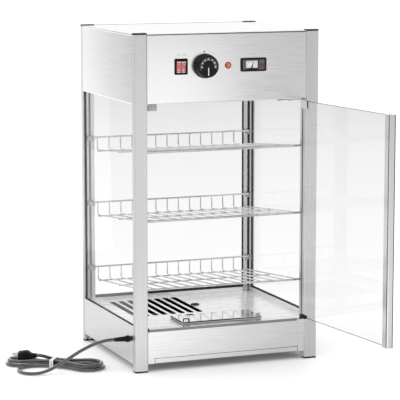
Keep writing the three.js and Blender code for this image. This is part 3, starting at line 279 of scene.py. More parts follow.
print_red = moulded("print_red", (0.13, 0.045, 0.04), 0.45)
rocker_red = lens_plastic("rocker_red", (0.36, 0.05, 0.05), (0.62, 0.2, 0.2), 0.05)
lamp_amber = lens_plastic("lamp_amber", (0.45, 0.08, 0.01), (0.75, 0.2, 0.02), 0.12)
# Ground edges of the glass: deep olive green, seen along the thickness of the pane
glass_cut_edge = grained(
    "glass_cut_edge", (0.07, 0.085, 0.035), 0.25, 0, (300, 300, 300), 3.0,
    ((0.05, 0.06, 0.022), (0.12, 0.14, 0.06)), (0.18, 0.4),
)
# Bright plated wire with slight dulling where the bath was thin
bright_wire = grained(
    "bright_wire", grey(0.82), 0.16, 1.0, (60, 60, 60), 3.0, (grey(0.74), grey(0.86)), (0.1, 0.24),
)
# Heater sheath that has run hot: dull grey with brown and blue tints
heater_sheath = grained(
    "heater_sheath", grey(0.5), 0.45, 0.9, (18, 60, 60), 3.0,
    ((0.13, 0.1, 0.085), (0.26, 0.26, 0.28)), (0.35, 0.55),
)
# Extruded black rubber with a dusty skin, also used for the dark strips of painted shade in joints, grooves
# and round the lid
rubber_and_shade = grained(
    "black_rubber", grey(0.14), 0.65, 0, (500, 500, 500), 4.0,
    (grey(0.1), grey(0.19)), (0.55, 0.8), (0.00003, 0.4),
)
# Soft cord sheath, dark grey with a low gloss and faint rub marks
cord_sheath = grained(
    "cord_sheath", grey(0.17), 0.3, 0, (140, 140, 140), 4.0,
    (grey(0.12), grey(0.23)), (0.22, 0.42), (0.00004, 0.3),
    Coat_Weight=0.8, Coat_Roughness=0.2, Specular_IOR_Level=1.0,
)

# What each solid is made of, by the start of its name
for material, starts in (
    (panel_steel, "upper_ base_ control_panel bottom_cover door_clamp_upper hinge_bracket"),
    (roof_steel, "roof_panel"), (inner_steel, "ceiling_plate"), (floor_steel, "floor_plate"),
    (tray_steel, "water_tray"), (lid_steel, "tray_lid"), (post_metal, "post_"), (handle_metal, "door_handle"),
    (clear_pane, "glass_"), (door_pane, "door_glass"), (bright_wire, "rack_"), (clip_moulding, "clip_"),
    (black, "cap_ foot_ door_clamp_lower thermostat_ cord_gland"),
    (black_gloss, "switch_bezel thermometer plug"), (rubber_and_shade, "seal_ probe_grommet"),
    (heater_sheath, "heater_element"), (grey_moulding, "door_catch"), (white_moulding, "cord_tie"),
    (cord_sheath, "cord_hank cord_lead"), (rocker_red, "rocker_"), (lamp_amber, "pilot_lamp"),
):
    for name, node in nodes.items():
        if name.startswith(tuple(starts.split())):
            node.data.materials.clear()
            node.data.materials.append(material)


# Ways to make a piece
SAME_POINT, LEAST_RADIUS = 1e-7, 0.001


def joined(name, meshes):
    """Several meshes as one, each keeping its material."""
    whole, work, order = bpy.data.meshes.new(name), bmesh.new(), []
    for mesh in meshes:
        order += [m for m in mesh.materials if m not in order]
        before = len(work.faces)
        work.from_mesh(mesh)
        work.faces.ensure_lookup_table()
        for face in work.faces[before:]:
            face.material_index = order.index(mesh.materials[face.material_index])
        bpy.data.meshes.remove(mesh)
    for material in order:
        whole.materials.append(material)
    work.to_mesh(whole)
    work.free()
    return whole


def piece(name, body, parts, replaced=None, sharp=35):
    """Meshes joined to a piece that rides on a body; it may take the place of a solid."""
    mesh = joined(name, parts)
    for polygon in mesh.polygons:
        polygon.use_smooth = True
    mesh.set_sharp_from_angle(angle=math.radians(sharp))
    made = added(name, mesh)
    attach(made, body)
    if replaced:
        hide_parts(replaced)
    return made


def finished(work, name, material):
    """A mesh from worked faces, turned out."""
    bmesh.ops.recalc_face_normals(work, faces=work.faces)
    mesh = bpy.data.meshes.new(name)
    work.to_mesh(mesh)
    work.free()
    mesh.materials.append(material)
    return mesh


def mesh_of(name, points, faces, material):
    """A mesh from points and faces."""
    rough, work = bpy.data.meshes.new(name), bmesh.new()
    rough.from_pydata([tuple(p) for p in points], [], faces)
    work.from_mesh(rough)
    bpy.data.meshes.remove(rough)
    bmesh.ops.remove_doubles(work, verts=work.verts, dist=SAME_POINT)
    return finished(work, name, material)


def loft(name, rings, material, closed=False):
    """Skins rings of equal counts; the ends are capped unless the loft closes on itself."""
    count = len(rings[0])
    points = [p for ring in rings for p in ring]
    faces = []
    for i in range(len(rings) if closed else len(rings) - 1):
        near, far = i * count, ((i + 1) % len(rings)) * count
        for k in range(count):
            after = (k + 1) % count
            faces.append((near + k, near + after, far + after, far + k))
    if not closed:
        faces += [tuple(range(count)), tuple(range(len(points) - count, len(points)))]
    return mesh_of(name, points, faces, material)


def oblong(a0, a1, b0, b1):
    """The corners of a rectangle."""
    return [(a0, b0), (a1, b0), (a1, b1), (a0, b1)]


def prism(name, outline, levels, place, material):
    """An outline carried through levels; place(a, b, level) says where its points lie."""
    return loft(name, [[place(a, b, level) for a, b in outline] for level in levels], material)


def block(name, xs, ys, zs, material, radius=0.0):
    """A box between spans in millimetres, with its edges rounded if a radius is given."""
    low, high = at(xs[0], ys[0], zs[0]), at(xs[1], ys[1], zs[1])
    size, middle = high - low, (high + low) / 2
    work = bmesh.new()
    bmesh.ops.create_cube(work, size=1)
    for vertex in work.verts:
        vertex.co = Vector(vertex.co[i] * size[i] + middle[i] for i in range(3))
    if radius:
        edges = list(work.edges)
        bmesh.ops.bevel(work, geom=edges, offset=radius * MM, segments=2, profile=0.5, affect="EDGES")
    return finished(work, name, material)


def turned(name, profile, place, axis, material, steps=64):
    """Turns a profile of (radius, distance along the axis), in millimetres, round an axis."""
    axis = Vector(axis).normalized()
    side = axis.orthogonal().normalized()
    other = axis.cross(side)
    rings = []
    for radius, along in profile:
        ring = []
        for k in range(steps):
            angle = 2 * math.pi * k / steps
            arm = side * math.cos(angle) + other * math.sin(angle)
            ring.append(place + (axis * along + arm * max(radius, LEAST_RADIUS)) * MM)
        rings.append(ring)
    return loft(name, rings, material)


def plain_mesh(maker, material):
    """What an object looks like, as a plain mesh of one material; the object is removed."""
    graph = bpy.context.evaluated_depsgraph_get()
    mesh = bpy.data.meshes.new_from_object(maker.evaluated_get(graph))
    bpy.data.objects.remove(maker)
    mesh.materials.clear()
    mesh.materials.append(material)
    mesh.polygons.foreach_set("material_index", [0] * len(mesh.polygons))
    return mesh


class Tree(Nodes):
    """A geometry tree with named inputs, which sets copies of a shape side by side."""

    family = "GeometryNode"

    def __init__(self, name, **inputs):
        super().__init__(bpy.data.node_groups.new(name, "GeometryNodeTree"))
        kinds = {**inputs, "Count": "Int", "Pitch": "Vector", "Material": "Material"}
        sockets = self.tree.interface
        self.keys = {
            label: sockets.new_socket(label, in_out="INPUT", socket_type="NodeSocket" + kind).identifier
            for label, kind in kinds.items()
        }
        sockets.new_socket("Geometry", in_out="OUTPUT", socket_type="NodeSocketGeometry")
        self.given = self.tree.nodes.new("NodeGroupInput").outputs

    def copy(self, shape):
        """Copies a shape along a row and gives it the material."""
        given = self.given
        row = self.node(
            "MeshLine", {"Count": given["Count"], "Offset": given["Pitch"]},
            mode="OFFSET", count_mode="TOTAL",
        )
        copies = self.node("InstanceOnPoints", {"Points": row, "Instance": shape})
        real = self.node("RealizeInstances", {"Geometry": copies})
        dressed = self.node("SetMaterial", {"Geometry": real, "Material": given["Material"]})
        result = self.tree.nodes.new("NodeGroupOutput").inputs["Geometry"]
        self.tree.links.new(dressed.outputs[0], result)
        return self

    def grow(self, name, points, edges, **values):
        """Runs the tree on points and edges, and returns the plain mesh it makes."""
        seed = bpy.data.meshes.new(name)
        seed.from_pydata([tuple(p) for p in points], edges, [])
        maker = added(name, seed)
        modifier = maker.modifiers.new("make", "NODES")
        modifier.node_group = self.tree
        for label, value in values.items():
            modifier[self.keys[label]] = value
        mesh = plain_mesh(maker, values["Material"])
        bpy.data.meshes.remove(seed)
        return mesh


def make_wire_tree():
    """Wires bent round the corners of a path and set out side by side."""
    tree = Tree("bent_wires", Path="Geometry", Radius="Float", Bend="Float", Sides="Int")
    given = tree.given
    path = tree.node("MeshToCurve", {"Mesh": given["Path"]})
    bent = tree.node(
        "FilletCurve", {"Curve": path, "Count": 6, "Radius": given["Bend"], "Limit Radius": True},
        mode="POLY",
    )
    section = tree.node("CurvePrimitiveCircle", {"Resolution": given["Sides"], "Radius": given["Radius"]})
    return tree.copy(tree.node("CurveToMesh", {"Curve": bent, "Profile Curve": section, "Fill Caps": True}))


wire_tree = make_wire_tree()


def wires(name, corners, radius, material, bend=5.0, count=1, pitch=0.0, sides=12):
    """One or more wires through corners, in millimetres, set out to the right."""
    points = [at(*corner) for corner in corners]
    edges = [(i, i + 1) for i in range(len(points) - 1)]
    return wire_tree.grow(
        name, points, edges, Count=count, Pitch=(pitch * MM, 0, 0), Radius=radius * MM, Bend=bend * MM,
        Sides=sides, Material=material,
    )


# Cord: one run from the gland, round a loop on the counter and through the tied hank to the plug
CORD_RADIUS = 3.1
LEAD_ROUTE = [
    (-204.3, -110, 55.5), (-211, -110, 55.7), (-220, -109.6, 55), (-233, -108.3, 52.4), (-247, -107, 47.8),
    (-262, -105.5, 41), (-276, -104, 33.4), (-290, -102.7, 25), (-303, -101.8, 17.5), (-316, -101.6, 11.4),
    (-328, -102.2, 7.2), (-340.3, -102.7, 4.6), (-350.9, -100.8, 3.7), (-360.2, -95.4, 3.3),
    (-367.1, -87.2, 3.2), (-370.8, -77.1, 3.2), (-370.8, -66.3, 3.2), (-367.1, -56.2, 3.2),
    (-360.2, -48, 3.2), (-350.9, -42.6, 3.3), (-340.3, -40.9, 3.4), (-329.3, -43, 3.8),
]
HANK_X, HANK_Y, HANK_TURN = -297.4, -44.9, math.radians(-35.9)
LOBE_CENTRE, LOBE_RADIUS, WAIST_HALF = 65, 19, 1.8
HANK_STEP, HANK_LAYER, HANK_LIFT = 7.4, 6.9, 1.6
HANK_START, HANK_MIDDLE, HANK_END = -8, 540, 904
TAIL_RUN, TAIL_RISE, CLEARANCE = 28, 2, 0.3
WAIST_RADIUS = (LOBE_CENTRE ** 2 + WAIST_HALF ** 2 - LOBE_RADIUS ** 2) / (2 * (LOBE_RADIUS - WAIST_HALF))
WAIST_SWEEP = math.asin(LOBE_CENTRE / (LOBE_RADIUS + WAIST_RADIUS))
LOBE_RUN = LOBE_RADIUS * (math.pi / 2 + WAIST_SWEEP)
QUARTER_RUN = LOBE_RUN + WAIST_RADIUS * WAIST_SWEEP
PLUG_TILT = math.radians(9)
PLUG_AXIS = Vector((-math.cos(PLUG_TILT), 0, -math.sin(PLUG_TILT)))
PLUG_BASE = Vector((-34, 1, 18.6))
FACE, PIN_LENGTH = 33.0, 14


def in_hank(point):
    """A point of the hank's own plane as a point of the case, in millimetres."""
    c, s = math.cos(HANK_TURN), math.sin(HANK_TURN)
    return Vector((HANK_X + point.x * c - point.y * s, HANK_Y + point.x * s + point.y * c, point.z))


def loop_point(angle):
    """A point of the hank's loops, the same as in the solid model."""
    quarters = (angle % 360) / 90
    hand = 1 if quarters < 2 else -1
    from_tip = (quarters % 2) - 1
    run = abs(from_tip) * QUARTER_RUN
    outward = HANK_STEP * abs(angle - HANK_MIDDLE) / 360
    climb = min(max((angle - HANK_MIDDLE + 90) / 180, 0), 1)
    z = CORD_RADIUS + HANK_LIFT * from_tip ** 2 + HANK_LAYER * climb
    side = hand * ((from_tip > 0) - (from_tip < 0))
    if run < LOBE_RUN:
        sweep, arm = run / LOBE_RADIUS, LOBE_RADIUS + outward
        return Vector((hand * (LOBE_CENTRE + arm * math.cos(sweep)), side * arm * math.sin(sweep), z))
    sweep, arm = WAIST_SWEEP - (run - LOBE_RUN) / WAIST_RADIUS, WAIST_RADIUS - outward
    across = WAIST_HALF + WAIST_RADIUS - arm * math.cos(sweep)
    return Vector((hand * arm * math.sin(sweep), side * across, z))


def through(points, parts=8):
    """A smooth line through points."""
    line = []
    ends = [2 * points[0] - points[1], *points, 2 * points[-1] - points[-2]]
    for a, b, c, d in zip(ends, ends[1:], ends[2:], ends[3:]):
        for t in (k / parts for k in range(parts)):
            square, cube = 2 * a - 5 * b + 4 * c - d, 3 * b - a - 3 * c + d
            line.append((2 * b + (c - a) * t + square * t ** 2 + cube * t ** 3) / 2)
    return [*line, points[-1]]


def bezier(a, b, c, d, parts):
    """Points of a Bezier curve after its first."""
    return [
        a * (1 - t) ** 3 + b * 3 * t * (1 - t) ** 2 + c * 3 * t ** 2 * (1 - t) + d * t ** 3
        for t in (k / parts for k in range(1, parts + 1))
    ]


def cord_line():
    """The whole cord's middle line, in millimetres of the case."""
    loops = [loop_point(angle) for angle in range(HANK_START, HANK_END + 1, 4)]
    last = loops[-1]
    heading = (last - loops[-2]).normalized()
    near = last + heading * (TAIL_RUN / 3) + Vector((0, 0, TAIL_RISE))
    end = PLUG_BASE - PLUG_AXIS * CLEARANCE
    far = PLUG_BASE - PLUG_AXIS * (CLEARANCE + TAIL_RUN / 3)
    hank = [in_hank(point) for point in [*loops, *bezier(last, near, far, end, 10)]]
    entering = (hank[1] - hank[0]).normalized()
    lead = [Vector(p) for p in LEAD_ROUTE]
    lead.append(hank[0] - entering * (3 * CORD_RADIUS + CLEARANCE))
    return [*through([*lead, hank[0]]), *hank[1:]]


def make_cord():
    """The cord as a round curve, with its exit from the gland and its length."""
    line = [at(*p) for p in cord_line()]
    curve = bpy.data.curves.new("cord", "CURVE")
    curve.dimensions = "3D"
    curve.bevel_depth = CORD_RADIUS * MM
    curve.bevel_resolution = 4
    curve.use_fill_caps = True
    spline = curve.splines.new("POLY")
    spline.points.add(len(line) - 1)
    for point, place in zip(spline.points, line):
        point.co = (*place, 1)
    curve.materials.append(cord_sheath)
    cord = added("cord", curve)
    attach(cord, "case")
    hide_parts("cord_lead", "cord_hank")
    return cord, line[0], sum((b - a).length for a, b in zip(line, line[1:]))


def make_plug():
    """The moulded plug with grip ribs, its bright blades and earth pin, and its face plate."""
    turn = Matrix.Rotation(HANK_TURN, 3, "Z")
    ahead, up = turn @ PLUG_AXIS, turn @ Vector((-math.sin(PLUG_TILT), 0, math.cos(PLUG_TILT)))
    aside = up.cross(ahead)
    base = at(*in_hank(PLUG_BASE))
    tip = FACE + PIN_LENGTH
    profile = [
        (0, 0), (4.1, 0.1), (4.3, 1.5), (3.6, 1.9), (3.6, 2.7), (4.6, 3.1), (4.7, 4.5), (4, 4.9), (4, 5.7),
        (5, 6.1), (5.2, 7.2), (7.6, 11.8),
    ]
    for k in range(5):
        start, radius = 12.4 + 2.2 * k, min(8.7 + 1.9 * k, 11.9)
        profile += [(radius - sunk, start + run) for sunk, run in ((0, 0), (0, 1.2), (0.7, 1.5), (0.7, 1.9))]
    profile += [(11.9, 23.6), (11.9, FACE - 0.8), (11.2, FACE - 0.1), (9.4, FACE - 0.1), (0, FACE - 0.1)]
    plate = [(9.3, FACE - 0.6), (9.3, FACE), (0, FACE)]
    pin = [(2.4, FACE - 0.5), (2.4, tip - 1.4), (1.7, tip - 0.3), (0, tip)]
    parts = [
        turned("plug_body", profile, base, ahead, black_gloss, 48),
        turned("plate", plate, base, ahead, grey_moulding, 40),
    ]
    for middle in (-6.35, 6.35):
        rings = []
        for along, share in ((FACE - 0.5, 1), (tip - 1.4, 1), (tip, 0.55)):
            rings.append([
                base + (ahead * along + aside * (middle + i) + up * (j * share)) * MM
                for i, j in oblong(-0.75, 0.75, -3.15, 3.15)
            ])
        parts.append(loft("blade", rings, pin_metal))
    parts.append(turned("earth", pin, base + up * 7.5 * MM, ahead, pin_metal, 24))
    return piece("mains_plug", "case", parts, "plug", 30)


def make_tie_holes():
    """Three punched holes in the strap of the tie, drawn as dark discs: painted shade for the shaded cord
    seen through them.
    """
    across = Matrix.Rotation(HANK_TURN, 3, "Z") @ Vector((0, -1, 0))
    tie, middle = nodes["cord_tie"], at(HANK_X, HANK_Y, 0)
    points = [tie.matrix_world @ vertex.co for vertex in tie.data.vertices]
    heights = [point.z for point in points]
    place = middle + across * max((point - middle).dot(across) for point in points)
    radius, pitch, proud, deep = 0.85, 3.3, 0.04, -0.5
    profile = [(0, proud), (radius, proud), (radius, deep), (0, deep)]
    parts = []
    for step in (-pitch, 0, pitch):
        place.z = (min(heights) + max(heights)) / 2 + step * MM
        parts.append(turned("hole", profile, place, across, dark_lining, 20))
    return piece("tie_holes", "case", parts)


cord, cord_exit, cord_length = make_cord()
mains_plug = make_plug()
tie_holes = make_tie_holes()
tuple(cord_exit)


# Racks
RACKS = {"rack_upper": ("rack_u", 396.5), "rack_middle": ("rack_m", 271.5), "rack_lower": ("rack_d", 146.5)}
RACK_FRONT, RACK_BACK, RACK_DROP = -131, 130, 25
RACK_SPAN, RACK_WIRES, WIRE, RAIL, FENCE_RAIL = 151, 14, 1.25, 2.0, 1.6
CROSS_WIRES = (-118, 6.0, 123.75)
HOOK_END, FENCE_END, FENCE_REACH = 156.4, 159, 8.5


def make_rack(name, body, top):
    """Long wires that turn up at the back, cross wires, a front rail and the hooked fence rail."""
    half, back, low = RACK_SPAN + WIRE, RACK_BACK + FENCE_REACH, top - RACK_DROP
    long_wire = [(-RACK_SPAN, RACK_FRONT, top), (-RACK_SPAN, RACK_BACK, low), (-RACK_SPAN, RACK_BACK, top)]
    rail = [(-HOOK_END, RACK_FRONT, top), (HOOK_END, RACK_FRONT, top)]
    fence = [(-FENCE_END, back), (-FENCE_END, RACK_BACK), (FENCE_END, RACK_BACK), (FENCE_END, back)]
    pitch = 2 * RACK_SPAN / (RACK_WIRES - 1)
    parts = [
        wires("long_wires", long_wire, WIRE, bright_wire, 5, RACK_WIRES, pitch),
        wires("front_rail", rail, RAIL, bright_wire, sides=16),
        wires("fence_rail", [(x, y, top) for x, y in fence], FENCE_RAIL, bright_wire, 2.5, sides=16),
    ]
    for y in CROSS_WIRES:
        z = top - RACK_DROP * (y - RACK_FRONT) / (RACK_BACK - RACK_FRONT) - 2 * WIRE + 0.5
        parts.append(wires("cross_wire", [(-half, y, z), (half, y, z)], WIRE, bright_wire))
    piece(name + "_wires", body, parts, name)


for name, (body, top) in RACKS.items():
    make_rack(name, body, top)


# Case: dark lines where posts, panels and glass meet, partly gaskets and partly painted shade; the lid with
# painted shade round its skirt; the door; and painted shade inside the base
HALF_DEPTH, FRONT_Y = 152.5, -151.5
POST_INNER_X, POST_DEPTH, TEE_SLOT_X = 154, 12.5, 161.6
HOUSING_BOTTOM, HOUSING_TOP, BASE_TOP, BASE_BOTTOM = 484, 607.2, 77, 15
GLASS_OUTER, GLASS_INNER = 174.5, 170.5
GASKET_ZS = (86, HOUSING_BOTTOM)
FLOOR_Z, SLOT_YS = 74.5, (-17, 130)
LID_XS, LID_YS, LID_HOLE, LID_BOTTOM, LID_TOP = (-76, 79), (-124, -60), (-43, -72), 76.1, 81.1
PIVOT, DOOR_TURN, HANDLE_END = (150.2, -147), math.radians(180 + 96), 301


def on_door(x, y, z):
    """A point of the closed door, measured from its pivot, where it stands open."""
    c, s = math.cos(DOOR_TURN), math.sin(DOOR_TURN)
    return at(PIVOT[0] + x * c - y * s, PIVOT[1] + x * s + y * c, z)


def make_seams():
    """Thin black strips in the joints of the posts, panels and glass: rubber gaskets beside the panes,
    painted shade in the open joints between posts and panels and in the back posts' T-slots, and dark lines
    on the base's front near its bottom and along the roof's back edge.
    """
    strips = []

    def strip(xs, ys, zs):
        strips.append(block("seam", sorted(xs), sorted(ys), zs, rubber_and_shade))

    back, thick = HALF_DEPTH - 3.5, 0.7
    foot, foot_top, skin = POST_INNER_X - 13.5, BASE_BOTTOM + 9, (FRONT_Y - 0.06, FRONT_Y + 0.2)
    for side in (-1, 1):
        joint, half = side * (POST_INNER_X - 0.15), 0.45
        # Front joints between posts and panels: strips of painted shade
        for zs in ((HOUSING_BOTTOM, HOUSING_TOP), (BASE_BOTTOM, BASE_TOP)):
            strip((joint - half, joint + half), (FRONT_Y + 0.1, FRONT_Y + 3), zs)
        for end in (-1, 1):
            face = end * (HALF_DEPTH - POST_DEPTH)
            # Rubber gaskets beside the panes; on the back posts also a strip of painted shade in the T-slot
            lips = [(GLASS_OUTER, thick), (GLASS_INNER - thick, thick)]
            if end > 0:
                lips.append((TEE_SLOT_X, 4 if side > 0 else 1.2))
            for x, wide in lips:
                strip((side * x, side * (x + wide)), (face, face - end * 1.4), GASKET_ZS)
        for y in (back, back - 4.7):
            strip((side * POST_INNER_X, side * (POST_INNER_X - 1)), (y, y + thick), GASKET_ZS)
        strip((side * foot - 0.4, side * foot + 0.4), skin, (BASE_BOTTOM, foot_top + 2))
    strip((-foot, foot), skin, (foot_top - 0.3, foot_top + 0.5))
    strip((-POST_INNER_X, POST_INNER_X), (HALF_DEPTH - 2.2, HALF_DEPTH - 1.4), (608.3, 608.9))
    piece("joint_gaskets", "case", strips)


def make_seals():
    """Slim rubber channels under the three panes, each with a slot for its pane."""
    low, half, slot, base, lip = 76.2, 3.8, 2.025, 1.5, 0.6
    beside, behind = (GLASS_OUTER + GLASS_INNER) / 2, HALF_DEPTH - 5.5
    for name, middle, reach, high in (
        ("left", -beside, 139.7, 83.8), ("right", beside, 139.7, 83.8), ("back", behind, 153.7, 87.5),
    ):
        outline = [
            (middle - half, low), (middle + half, low), (middle + half, high), (middle + slot, high + lip),
            (middle + slot, low + base), (middle - slot, low + base), (middle - slot, high + lip),
            (middle - half, high),
        ]
        turn = (lambda a, z, end: at(end, a, z)) if name == "back" else (lambda a, z, end: at(a, end, z))
        channel = prism("channel", outline, (-reach, reach), turn, rubber_and_shade)
        piece("pane_seal_" + name, "case", [channel], "seal_" + name)


def oval(x, y, z, run, radius, along):
    """A ring of points round a slot, run being half its straight part and along its axis."""
    ring = []
    for k in range(18):
        angle = math.pi * (k if k < 9 else k - 1) / 8 - math.pi / 2
        ahead = (run if k < 9 else -run) + radius * math.cos(angle)
        side = radius * math.sin(angle)
        ring.append(at(x + ahead, y + side, z) if along == 0 else at(x - side, y + ahead, z))
    return ring


def make_slot_rims():
    """The pressed-down rims of the heater slots, instanced over the floor, in dark painted shade so the slots
    look dark.
    """
    inner, outer, first, pitch, count = 3.4, 5.5, -124.2, 17.7, 8
    tree = Tree("slot_rims", Rim="Object")
    tree.copy(tree.node("ObjectInfo", {"Object": tree.given["Rim"]}).outputs["Geometry"])
    middle, run = sum(SLOT_YS) / 2, (SLOT_YS[1] - SLOT_YS[0]) / 2 - inner
    steps = ((outer, 0.02), (outer, 0.15), (inner, 0.15), (inner, -0.9))
    rings = [oval(first, middle, FLOOR_Z + z, run, radius, 1) for radius, z in steps]
    rim = added("rim", loft("rim", rings, dark_lining, closed=True))
    rims = tree.grow(
        "slot_rims", [(0, 0, 0)], [], Rim=rim, Count=count, Pitch=(pitch * MM, 0, 0), Material=dark_lining,
    )
    bpy.data.objects.remove(rim)
    piece("slot_rims", "case", [rims])


def make_lid():
    """The tray's lid: a folded plate with a ringed filling hole, a pull loop at its corner and a tab."""
    (x0, x1), (y0, y1), skin, (hole_x, hole_y) = LID_XS, LID_YS, 0.8, LID_HOLE
    corners = [math.atan2(y - hole_y, x - hole_x) for x in LID_XS for y in LID_YS]
    angles = sorted(corners + [math.radians(-179 + 9 * k) for k in range(40)])

    def edge(inset, z):
        ring = []
        for angle in angles:
            c, s = math.cos(angle), math.sin(angle)
            reach = min(((x1 if c > 0 else x0) - hole_x) / c, ((y1 if s > 0 else y0) - hole_y) / s)
            x = min(max(hole_x + reach * c, x0 + inset), x1 - inset)
            y = min(max(hole_y + reach * s, y0 + inset), y1 - inset)
            ring.append(at(x, y, z))
        return ring

    def rim(radius, z, run=3.5):
        ring = []
        for angle in angles:
            c, s = math.cos(angle), math.sin(angle)
            reach = radius / abs(s)
            if abs(reach * c) > run:
                reach = run * abs(c) + math.sqrt(radius ** 2 - (run * s) ** 2)
            ring.append(at(hole_x + reach * c, hole_y + reach * s, z))
        return ring

    rings = [
        edge(skin, LID_BOTTOM), edge(0, LID_BOTTOM), edge(0, LID_TOP - 0.6), edge(0.2, LID_TOP - 0.2),
        edge(0.6, LID_TOP), rim(6.4, LID_TOP), rim(6, LID_TOP + 0.4), rim(6, LID_TOP + 1.2),
        rim(4.5, LID_TOP + 1.2), rim(4.5, LID_TOP - skin), edge(skin, LID_TOP - skin),
    ]
    left, right, y, foot, crest = x0 + 2.5, x0 + 13, y0 + 5, LID_TOP - 0.3, LID_TOP + 4.6
    loop = [(left, y, foot), (left, y, crest), (right, y, crest), (right, y, foot)]
    piece("lid_plate", "lid", [
        loft("plate", rings, lid_steel, closed=True),
        wires("loop", loop, 1.1, black, 2.4),
        block("tab", (67, 77), (y0 + 0.1, y0 + 0.9), (LID_TOP - 0.5, LID_TOP + 6), tray_steel, 0.3),
    ], "tray_lid", 20)


def make_lid_gasket():
    """A dark band of painted shade round the skirt of the tray's lid, and the grommet in its hole."""
    (x0, x1), (y0, y1), proud, sunk = LID_XS, LID_YS, 0.5, 0.1
    wide = (x0 - proud, x1 + proud)
    # Dark strips round the skirt: painted shade
    parts = [block("skirt_shade_strip", xs, ys, (78.4, 80.2), rubber_and_shade) for xs, ys in (
        (wide, (y0 - proud, y0 + sunk)), (wide, (y1 - sunk, y1 + proud)),
        ((x0 - proud, x0 + sunk), LID_YS), ((x1 - sunk, x1 + proud), LID_YS),
    )]
    steps = ((3.3, -1.3), (3.3, 1.3), (4.6, 1.3), (4.6, -1.3))
    rings = [oval(*LID_HOLE, LID_TOP + z, 3.5, radius, 0) for radius, z in steps]
    piece("lid_gasket", "lid", [*parts, loft("ring", rings, rubber_and_shade, closed=True)])


def make_lip_strip():
    """The grey bumper strip on the lip under the door, and its stop."""
    proud = FRONT_Y - 0.5
    piece("lip_strip", "case", [
        block("strip", (-153.4, 139), (proud, FRONT_Y + 1), (72.8, 77.7), strip_grey, 0.3),
        block("stop", (-153.6, -151.3), (proud, FRONT_Y + 3), (74.6, 79.6), black, 0.3),
    ])


def make_lining():
    """Painted shade inside the base: a dark open box under the slots of the floor, and a dark sheet under the
    base, so the slots and the underside look dark.
    """
    wide, front, back, low, high, thick = 166, -129, 138, 17, 71, 0.6
    ys = (-137, back)
    piece("base_lining", "case", [block("shade_box", *spans, dark_lining) for spans in (
        ((-wide, wide), ys, (low, low + thick)), ((-173, 173), (-149, 151), (14.3, 14.9)),
        ((-wide, thick - wide), ys, (low, high)), ((wide - thick, wide), ys, (low, high)),
        ((-152, 152), (back, back + thick), (low, high)),
        ((-152, 152), (front, front + thick), (low, high - 3)),
    )])


def make_rivets():
    """Rivet heads under the strap of the upper hinge."""
    dome, strap_y, strap_z = [(0, 1.5), (1.3, 1.4), (2.2, 1.0), (2.6, 0.3), (2.6, 0), (0, 0)], -145, 482.3
    piece("strap_rivets", "case", [
        turned("rivet", dome, at(x, strap_y, strap_z), (0, 0, -1), black, 24) for x in (104, 124)
    ])


def make_door_pane():
    """The door's pane with chamfered, ground edges."""
    long, half, low, high, chamfer = 289.5, 2, 79, 480.5, 0.5
    rings = []
    for y, inset in ((-half, chamfer), (-half + chamfer, 0), (half - chamfer, 0), (half, chamfer)):
        outline = oblong(inset, long - inset, low + inset, high - inset)
        rings.append([on_door(x, y, z) for x, z in outline])
    mesh = loft("door_pane", rings, door_pane)
    mesh.materials.append(glass_cut_edge)
    across = (on_door(0, 1, 0) - on_door(0, 0, 0)).normalized()
    for polygon in mesh.polygons:
        polygon.material_index = 0 if abs(polygon.normal.dot(across)) > 0.99 else 1
    piece("door_pane", "door", [mesh], "door_glass", 20)


def make_door_shoe():
    """The black shoe under the lower corner of the door's pane, with its pivot pin."""
    low, high = 77.6, 83.5
    pin = [(0, 0), (2, 0), (2, 2.3), (0, 2.3)]
    piece("door_shoe", "door", [
        prism("shoe", oblong(-1, 18, -4, 3), (low, high), on_door, black),
        turned("pin", pin, at(*PIVOT, low + 0.2), (0, 0, -1), black, 24),
    ], "door_clamp_lower")


def make_handle_inlay():
    """Black strips of painted shade in the groove of the handle and along its edges, and the seals that hold
    the pane in it.
    """
    end, parts = HANDLE_END, []
    for x0, x1, y0, y1, low, high in (
        # The first row and the last two rows are painted shade; the second and third rows are the seals
        (end - 3.9, end - 2.7, -5.5, -4.85, 78.2, 481.3),
        (end - 17.8, end - 15.5, -3.2, -2.1, 79.5, 480), (end - 17.8, end - 15.5, 2.1, 3.2, 79.5, 480),
        (end - 4.5, end - 2.3, -6.03, -5.6, 78.3, 481.2), (end - 1.6, end + 0.03, 3.4, 5.0, 78.3, 481.2),
    ):
        parts.append(prism("line", oblong(x0, x1, y0, y1), (low, high), on_door, rubber_and_shade))
    piece("handle_inlay", "door", parts)


make_seams()
make_seals()
make_slot_rims()
make_lining()
make_lid()
make_lid_gasket()
make_lip_strip()
make_door_shoe()
make_door_pane()
make_handle_inlay()
make_rivets()


# Controls
CONTROLS_Z = 549.3
SWITCH_X, KNOB_X, LAMP_X, METER_X = -89.7, -43.9, 0.5, 49.5


def facing(x, z, y):
    """A point of an outline that faces the front, at a depth."""
    return at(x, y, z)


def plate_ring(middle, wide, high, corner, y, parts=5):
    """The outline of a rounded plate that faces the front."""
    ring = []
    for quarter, (sx, sz) in enumerate(((1, 1), (-1, 1), (-1, -1), (1, -1))):
        for k in range(parts + 1):
            angle = math.radians(90) * (quarter + k / parts)
            x = middle + sx * (wide / 2 - corner) + corner * math.cos(angle)
            ring.append(facing(x, CONTROLS_Z + sz * (high / 2 - corner) + corner * math.sin(angle), y))
    return ring


